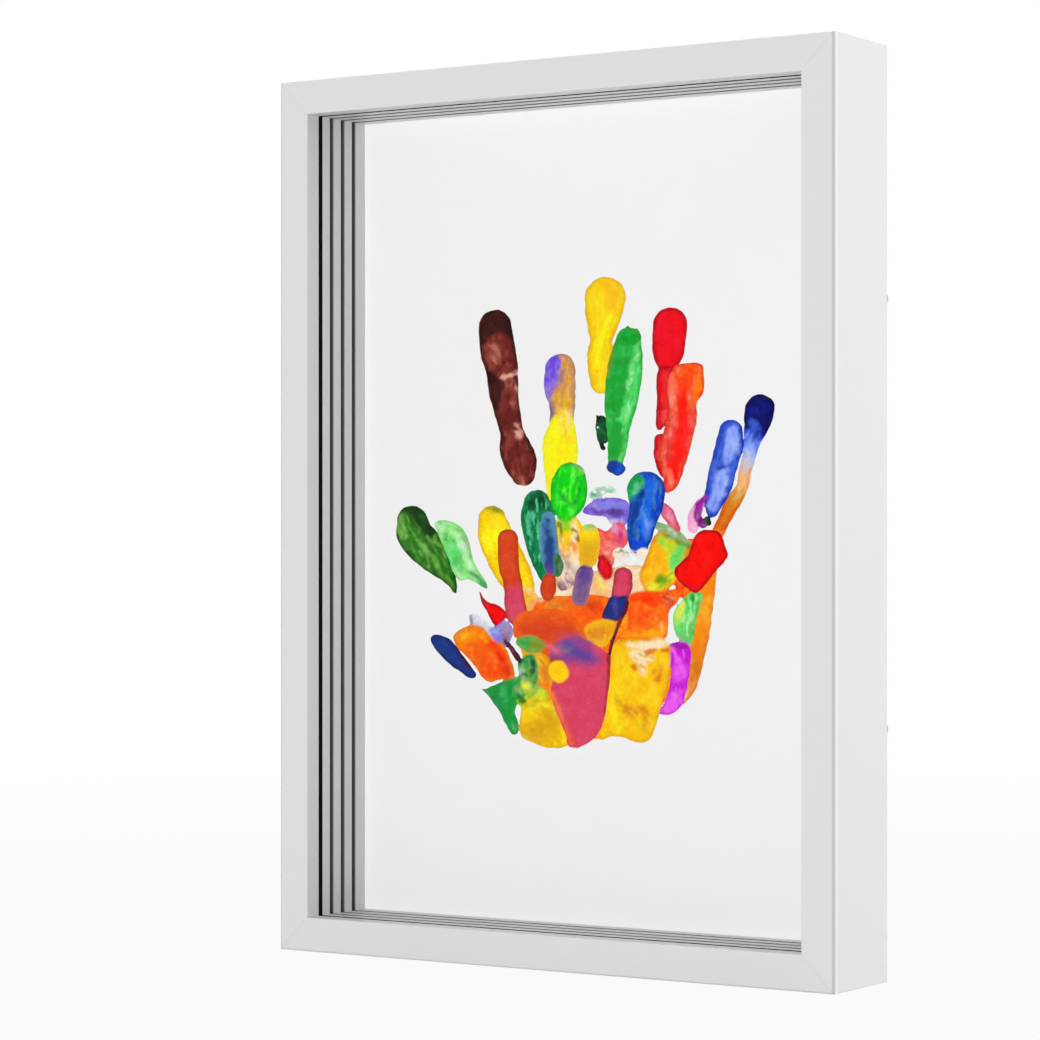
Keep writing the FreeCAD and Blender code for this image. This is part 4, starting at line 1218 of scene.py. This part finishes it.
def torn(depth, mark, x, z, streak, grit, seed):
    """The depth with a noise added, and cut down to less than nothing where the skin lifted the paint.

    Paint is lifted where the mean of a noise and the streaks is high, and over more of the mark
    the larger its bare share is.
    """
    reach = TINT_TEAR if mark["rubbed"] else EDGE_TEAR * max(grit, LEAST_TEAR)
    depth = depth + (noise_of("tear", x, z, seed) - 0.5) * reach
    if mark["bare"]:
        lifted = 0.5 * noise_of("lift", x, z, seed) + 0.5 * streak
        depth = np.minimum(depth, (LIFT_LEVEL - LIFT_PER_BARE * mark["bare"] - lifted) * LIFT_SLOPE)
    return depth


def height_of(depth, wrinkle):
    """A film that thickens inwards from its edge, with ridges in the wrinkles, and a rim on top.

    The rim is a bell curve of the depth, highest one rim reach inside the edge.
    """
    rim = RIM_HEIGHT * np.exp(-(depth / RIM_REACH - 1) ** 2) * (depth > 0)
    return rise(depth / FILL_REACH) * (FILM_THICKNESS + RIDGE_HEIGHT * wrinkle) + rim


print("film %.2f mm, rim %.2f mm more" % (FILM_THICKNESS / MM, RIM_HEIGHT / MM))

# %% [markdown]
# Colour gathers in the same places as height: more of it in the rim and the wrinkles, less where the
# film is thin. Light passes through a film and back, so paint laid more thickly isn't only darker but
# also more saturated, and a power of the colour gives both.

# %% Colour of a mark
STREAK_PULL, BLOTCH_PULL = 0.12, 0.16
FLECK_LEVEL, FLECK_CONTRAST, FLECK_LOSS_AT_EDGE = 0.48, 5, 0.6
RIM_EVEN_SHARE, RIM_GRITTY_SHARE, WRINKLE_SHARE = 0.45, 0.35, 0.38
THINNING, THIN_LEVEL, THIN_CONTRAST = 0.30, 0.45, 4
MOTTLE = 0.50
EDGE_THICKER, WRINKLE_THICKER = 0.5, 0.2
DARKEST = 0.001


def blend_along(colours, share):
    """A colour for each share from 0 to 1, gliding from each named paint to the next."""
    stops = np.array([PAINTS[name] for name in colours])
    step = share * (len(stops) - 1)
    first = np.minimum(step.astype(int), max(len(stops) - 2, 0))
    second = np.minimum(first + 1, len(stops) - 1)
    weight = rise(step - first)[..., None]
    return stops[first] * (1 - weight) + stops[second] * weight


def towards(colour, name, share):
    """A colour carried some share of the way to a named paint."""
    share = share[..., None]
    return colour * (1 - share) + PAINTS[name] * share


def shade_of(mark, depth, along, streak, wrinkle, blotch, mottle, grit):
    """The mark's paints in turn, then its flecks and its rim, to the power of how thickly it lies.

    The rim's share falls off with depth as a bell curve. All noises run from 0 to 1.
    """
    share = np.clip(along + (streak - 0.5) * STREAK_PULL + (blotch - 0.5) * BLOTCH_PULL, 0, 1)
    colour = blend_along(mark["colours"], share)
    edge = np.exp(-(np.maximum(depth, 0) / mark["reach"]) ** 2)
    if mark["fleck"]:
        fleck = rise((streak - FLECK_LEVEL) * FLECK_CONTRAST) * mark["flecks"]
        colour = towards(colour, mark["fleck"], fleck * (1 - FLECK_LOSS_AT_EDGE * edge))
    if mark["rim"]:
        gritty = (RIM_GRITTY_SHARE * edge + WRINKLE_SHARE * wrinkle) * grit
        colour = towards(colour, mark["rim"], np.clip(RIM_EVEN_SHARE * edge + gritty, 0, 1))
    thin = THINNING * (0.5 - rise((blotch - THIN_LEVEL) * THIN_CONTRAST))
    thickness = 1 + (thin - MOTTLE * (mottle - 0.5)) * grit
    if not mark["rim"] and not mark["rubbed"]:
        thickness = thickness + EDGE_THICKER * edge + WRINKLE_THICKER * wrinkle
    return np.clip(colour, DARKEST, 1) ** thickness[..., None]


halfway = blend_along(["chalk", "scarlet"], np.array([0.5]))[0]
print("halfway from chalk to scarlet: %.2f %.2f %.2f" % tuple(halfway))

# %% [markdown]
# One mark after another is laid on the grid, and only over the part of it that the mark can reach. A
# later mark covers the colour of the earlier ones, but its height is added to most of theirs, so
# crossing dabs show as steps in the film. Grit says how strongly a print is mottled and wrinkled.

# %% Laying the marks
FILM_SPARE = 4 * MM
FADE_CELLS = 1.5
UNDER_SHARE, OVER_SHARE = 0.7, 0.8
TALLEST = 0.25 * MM
SEED_PER_SHEET, SEED_PER_MARK = 1000, 50


def window(film, line, closed):
    """The rows and columns of the grid within the line's own box, its greatest half width and some spare."""
    low, high = line[:, :2].min(axis=0) - FILM_SPARE, line[:, :2].max(axis=0) + FILM_SPARE
    if not closed:
        reach = line[:, 2].max() / math.cos(YAW)
        low, high = low - reach, high + reach
    columns = slice(*np.searchsorted(film["x"][0], (low[0], high[0])))
    rows = slice(*np.searchsorted(film["z"][:, 0], (low[1], high[1])))
    return rows, columns


def lay(film, mark, points, seed):
    """Add one mark to the film: its colour by how far it covers a point, and a dab's height and depth.

    Cover rises from 0 a little outside the mark to its full strength where it is soft no longer,
    and is whole where a dab is the first paint at a point.
    """
    closed = points.shape[1] == 2
    line = smooth_line(points, closed)
    here = window(film, line, closed)
    x, z, grit = film["x"][here], film["z"][here], film["grit"]
    depth, along = patch_depth(x, z, line) if closed else stroke_depth(x, z, line)
    far_end = line[len(line) // 2] if closed else line[-1]
    axis = (far_end - line[0])[:2]
    streak, wrinkle = streaks_and_wrinkles(x, z, axis / np.hypot(*axis), seed)
    depth = torn(depth, mark, x, z, streak, grit, seed)
    blotch, mottle = (noise_of(kind, x, z, seed) for kind in ("blotch", "mottle"))
    colour = shade_of(mark, depth, along, streak, wrinkle, blotch, mottle, grit)

    before, laid = film["depth"][here], film["height"][here]
    fade = FADE_CELLS * film["cell"]
    cover = rise((depth + fade) / (mark["soft"] + fade)) * mark["strength"]
    if not mark["rubbed"]:
        cover = np.where((before < 0) & (depth > before), 1, cover)
    cover = cover[..., None]
    film["colour"][here] = film["colour"][here] * (1 - cover) + colour * cover
    if not mark["rubbed"]:
        stacked = laid * UNDER_SHARE + height_of(depth, wrinkle) * OVER_SHARE
        film["height"][here] = np.where(depth > 0, stacked, laid)
        film["depth"][here] = np.maximum(before, depth)


def paint_film(number, marks, cell, grit):
    """The whole print on its grid, each mark seeded by its sheet's number and its own place in line."""
    shapes = {name: placed(mark["points"], number) for name, mark in marks.items()}
    wide = max(points[:, 2].max() for points in shapes.values() if points.shape[1] == 3)
    spots = np.vstack([points[:, :2] for points in shapes.values()])
    low, high = spots.min(axis=0) - wide - FILM_SPARE, spots.max(axis=0) + wide + FILM_SPARE
    x, z = np.meshgrid(np.arange(low[0], high[0], cell), np.arange(low[1], high[1], cell))
    film = {"x": x, "z": z, "cell": cell, "grit": grit, "colour": np.ones(x.shape + (3,)),
            "depth": np.full(x.shape, -1.0), "height": np.zeros(x.shape)}
    for order, (name, mark) in enumerate(marks.items()):
        lay(film, mark, shapes[name], SEED_PER_SHEET * number + SEED_PER_MARK * order)
    film["height"] = np.clip(film["height"], 0, TALLEST)
    return film


print("film up to %.2f mm thick" % (TALLEST / MM))

# %% [markdown]
# The mesh is cut from the grid where the depth passes zero. A grid point just outside is drawn back
# along its grid lines to the crossing, so the outline runs smoothly between cells. The front skin,
# a flat back skin let a hair into the sheet, and a wall round every edge and hole close the film.

# %% Cutting the film from its grid
EDGE_LIP = 0.02 * MM
SUNK = 0.02 * MM
PALEST = 0.97


def drawn_back(film):
    """Which grid points are used, and where they lie once the outside ones sit on the crossing.

    Along a grid line the crossing lies depth / (depth - depth outside) of the way out, and a point
    with more than one neighbour inside takes the mean of their crossings.
    """
    depth, inside = film["depth"], film["depth"] > 0
    places = np.stack([film["x"], film["z"]], axis=-1)
    total, count = np.zeros_like(places), np.zeros(depth.shape)
    for axis in (0, 1):
        for step in (1, -1):
            near, near_in = np.roll(depth, step, axis), np.roll(inside, step, axis)
            edge = ~inside & near_in
            share = np.where(edge, near / np.where(edge, near - depth, 1), 0)[..., None]
            start = np.roll(places, step, axis)
            total += np.where(edge[..., None], start + (places - start) * share, 0)
            count += edge
    moved = count > 0
    places = np.where(moved[..., None], total / np.maximum(count, 1)[..., None], places)
    return inside, inside | moved, places


def skin(used, inside, index):
    """Triangles over every cell with a point inside: two where all four corners are used, one for three."""
    shifts = ((0, 0), (0, 1), (1, 1), (1, 0))
    rows, columns = used.shape[0] - 1, used.shape[1] - 1
    corners = [(slice(i, i + rows), slice(j, j + columns)) for i, j in shifts]
    has = np.stack([used[c] for c in corners])
    any_inside = np.stack([inside[c] for c in corners]).any(axis=0)
    number = np.stack([index[c] for c in corners])
    whole = has.all(axis=0) & any_inside
    a, b, c, d = number[:, whole]
    triangles = [np.column_stack([a, b, c]), np.column_stack([a, c, d])]
    for missing in range(4):
        part = (has.sum(axis=0) == 3) & any_inside & ~has[missing]
        rest = [number[(missing + turn) % 4][part] for turn in (1, 2, 3)]
        triangles.append(np.column_stack(rest))
    return np.vstack(triangles)


def closed_by_walls(front, count):
    """The front's triangles, the same turned over for the back, and two for each open edge between.

    An edge is open where no other triangle runs along it the other way. A back point's number is
    its front point's plus the count of front points.
    """
    edges = np.vstack([front[:, [0, 1]], front[:, [1, 2]], front[:, [2, 0]]])
    keys = edges[:, 0] * count + edges[:, 1]
    start, end = edges[~np.isin(keys, edges[:, 1] * count + edges[:, 0])].T
    walls = [np.column_stack([end, start, start + count]), np.column_stack([end, start + count, end + count])]
    return np.vstack([front, front[:, ::-1] + count] + walls).astype(np.int32)


def film_mesh(name, film, plane):
    """A closed mesh of the film, its back just inside the sheet's front plane.

    Each used point of the grid gives one front point, raised by the film's height, and one back point.
    """
    inside, used, places = drawn_back(film)
    count = int(used.sum())
    index = np.cumsum(used).reshape(used.shape) - 1
    faces = closed_by_walls(skin(used, inside, index), count)
    flat = places[used]
    lift = np.where(inside, np.maximum(film["height"], EDGE_LIP), EDGE_LIP)[used]
    top = np.column_stack([flat[:, 0], plane - lift, flat[:, 1]])
    back = np.column_stack([flat[:, 0], np.full(count, plane + SUNK), flat[:, 1]])
    mesh = bpy.data.meshes.new(name)
    mesh.vertices.add(2 * count)
    mesh.vertices.foreach_set("co", np.vstack([top, back]).astype(np.float32).ravel())
    mesh.loops.add(faces.size)
    mesh.loops.foreach_set("vertex_index", faces.ravel())
    mesh.polygons.add(len(faces))
    mesh.polygons.foreach_set("loop_start", np.arange(0, faces.size, 3, dtype=np.int32))
    mesh.update(calc_edges=True)
    shade = np.ones((2 * count, 4), np.float32)
    shade[:, :3] = np.tile(np.clip(film["colour"][used], 0, PALEST), (2, 1))
    mesh.color_attributes.new("paint", "FLOAT_COLOR", "POINT").data.foreach_set("color", shade.ravel())
    mesh.shade_smooth()
    return mesh


print("film edges have a lip of %.2f mm" % (EDGE_LIP / MM))

# %% [markdown]
# Dried craft paint has a low sheen. The film's mesh carries its colour, and the material adds what is
# finer than the grid: a slight mottle, pores in the bump, and patches that dried duller than others.

# %% Paint finish
PAINT_MOTTLE, PAINT_PORES, PAINT_DULL = 0.7 * MM, 0.22 * MM, 5 * MM
PAINT_TONES = (0.94, 1.06)
PAINT_ROUGH = (0.42, 0.68)
PAINT_RELIEF = 0.03 * MM
DULL_RANGE, MOTTLE_IN_DULL = (0.4, 0.9), 0.3
MOTTLE_IN_BUMP = 0.7


def paint_finish():
    """Low-sheen paint over the colour that each point of the film carries."""
    finish = new_finish("craft paint")
    colour = finish.node("ShaderNodeAttribute", {"attribute_name": "paint"})
    mottle = finish.noise(PAINT_MOTTLE, detail=3.0)
    level = finish.between(mottle, *NOISE_RANGE, *PAINT_TONES)
    tone = finish.node("ShaderNodeCombineColor", sockets={0: level, 1: level, 2: level})
    dull = finish.noise(PAINT_DULL) + mottle * MOTTLE_IN_DULL
    height = mottle * MOTTLE_IN_BUMP + finish.noise(PAINT_PORES) * (1 - MOTTLE_IN_BUMP)
    return finish.show(finish.principled(
        Base_Color=finish.mix(1.0, colour, tone, "MULTIPLY"),
        Roughness=finish.between(dull, *DULL_RANGE, *PAINT_ROUGH),
        Specular_IOR_Level=0.12,
        Normal=finish.bump(height, PAINT_RELIEF)))


paint_made = paint_finish()
print("paint finish ready")

# %% [markdown]
# Each print is cut from its own grid, set on the front of its sheet, and rides with that sheet when it
# is lifted. The smallest print has the finest grid, and the least grit: a small hand presses lightly
# and leaves smoother paint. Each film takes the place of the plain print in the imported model.

# %% Make the four prints
PRINTS = {
    1: {"size": "smallest", "marks": SMALLEST, "cell": 0.36 * MM, "grit": 0.3},
    2: {"size": "small", "marks": SMALL, "cell": 0.40 * MM, "grit": 0.8},
    3: {"size": "large", "marks": LARGE, "cell": 0.46 * MM, "grit": 0.8},
    4: {"size": "largest", "marks": LARGEST, "cell": 0.46 * MM, "grit": 0.8},
}


def hang_print(number, size, marks, cell, grit):
    """Paint one print, put it on its sheet and let it ride with that sheet."""
    name = "painted_hand_%d" % number
    mesh = film_mesh(name, paint_film(number, marks, cell, grit), sheet_fronts[number])
    mesh.materials.append(paint_made)
    piece = bpy.data.objects.new(name, mesh)
    bpy.context.scene.collection.objects.link(piece)
    cast_nothing(piece)
    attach(piece, "sheet_%d" % number)
    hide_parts("handprint_%d" % number)
    "paint_" + size
    print("%s: %d triangles" % (name, len(mesh.polygons)))


for sheet_number, print_settings in PRINTS.items():
    hang_print(sheet_number, **print_settings)
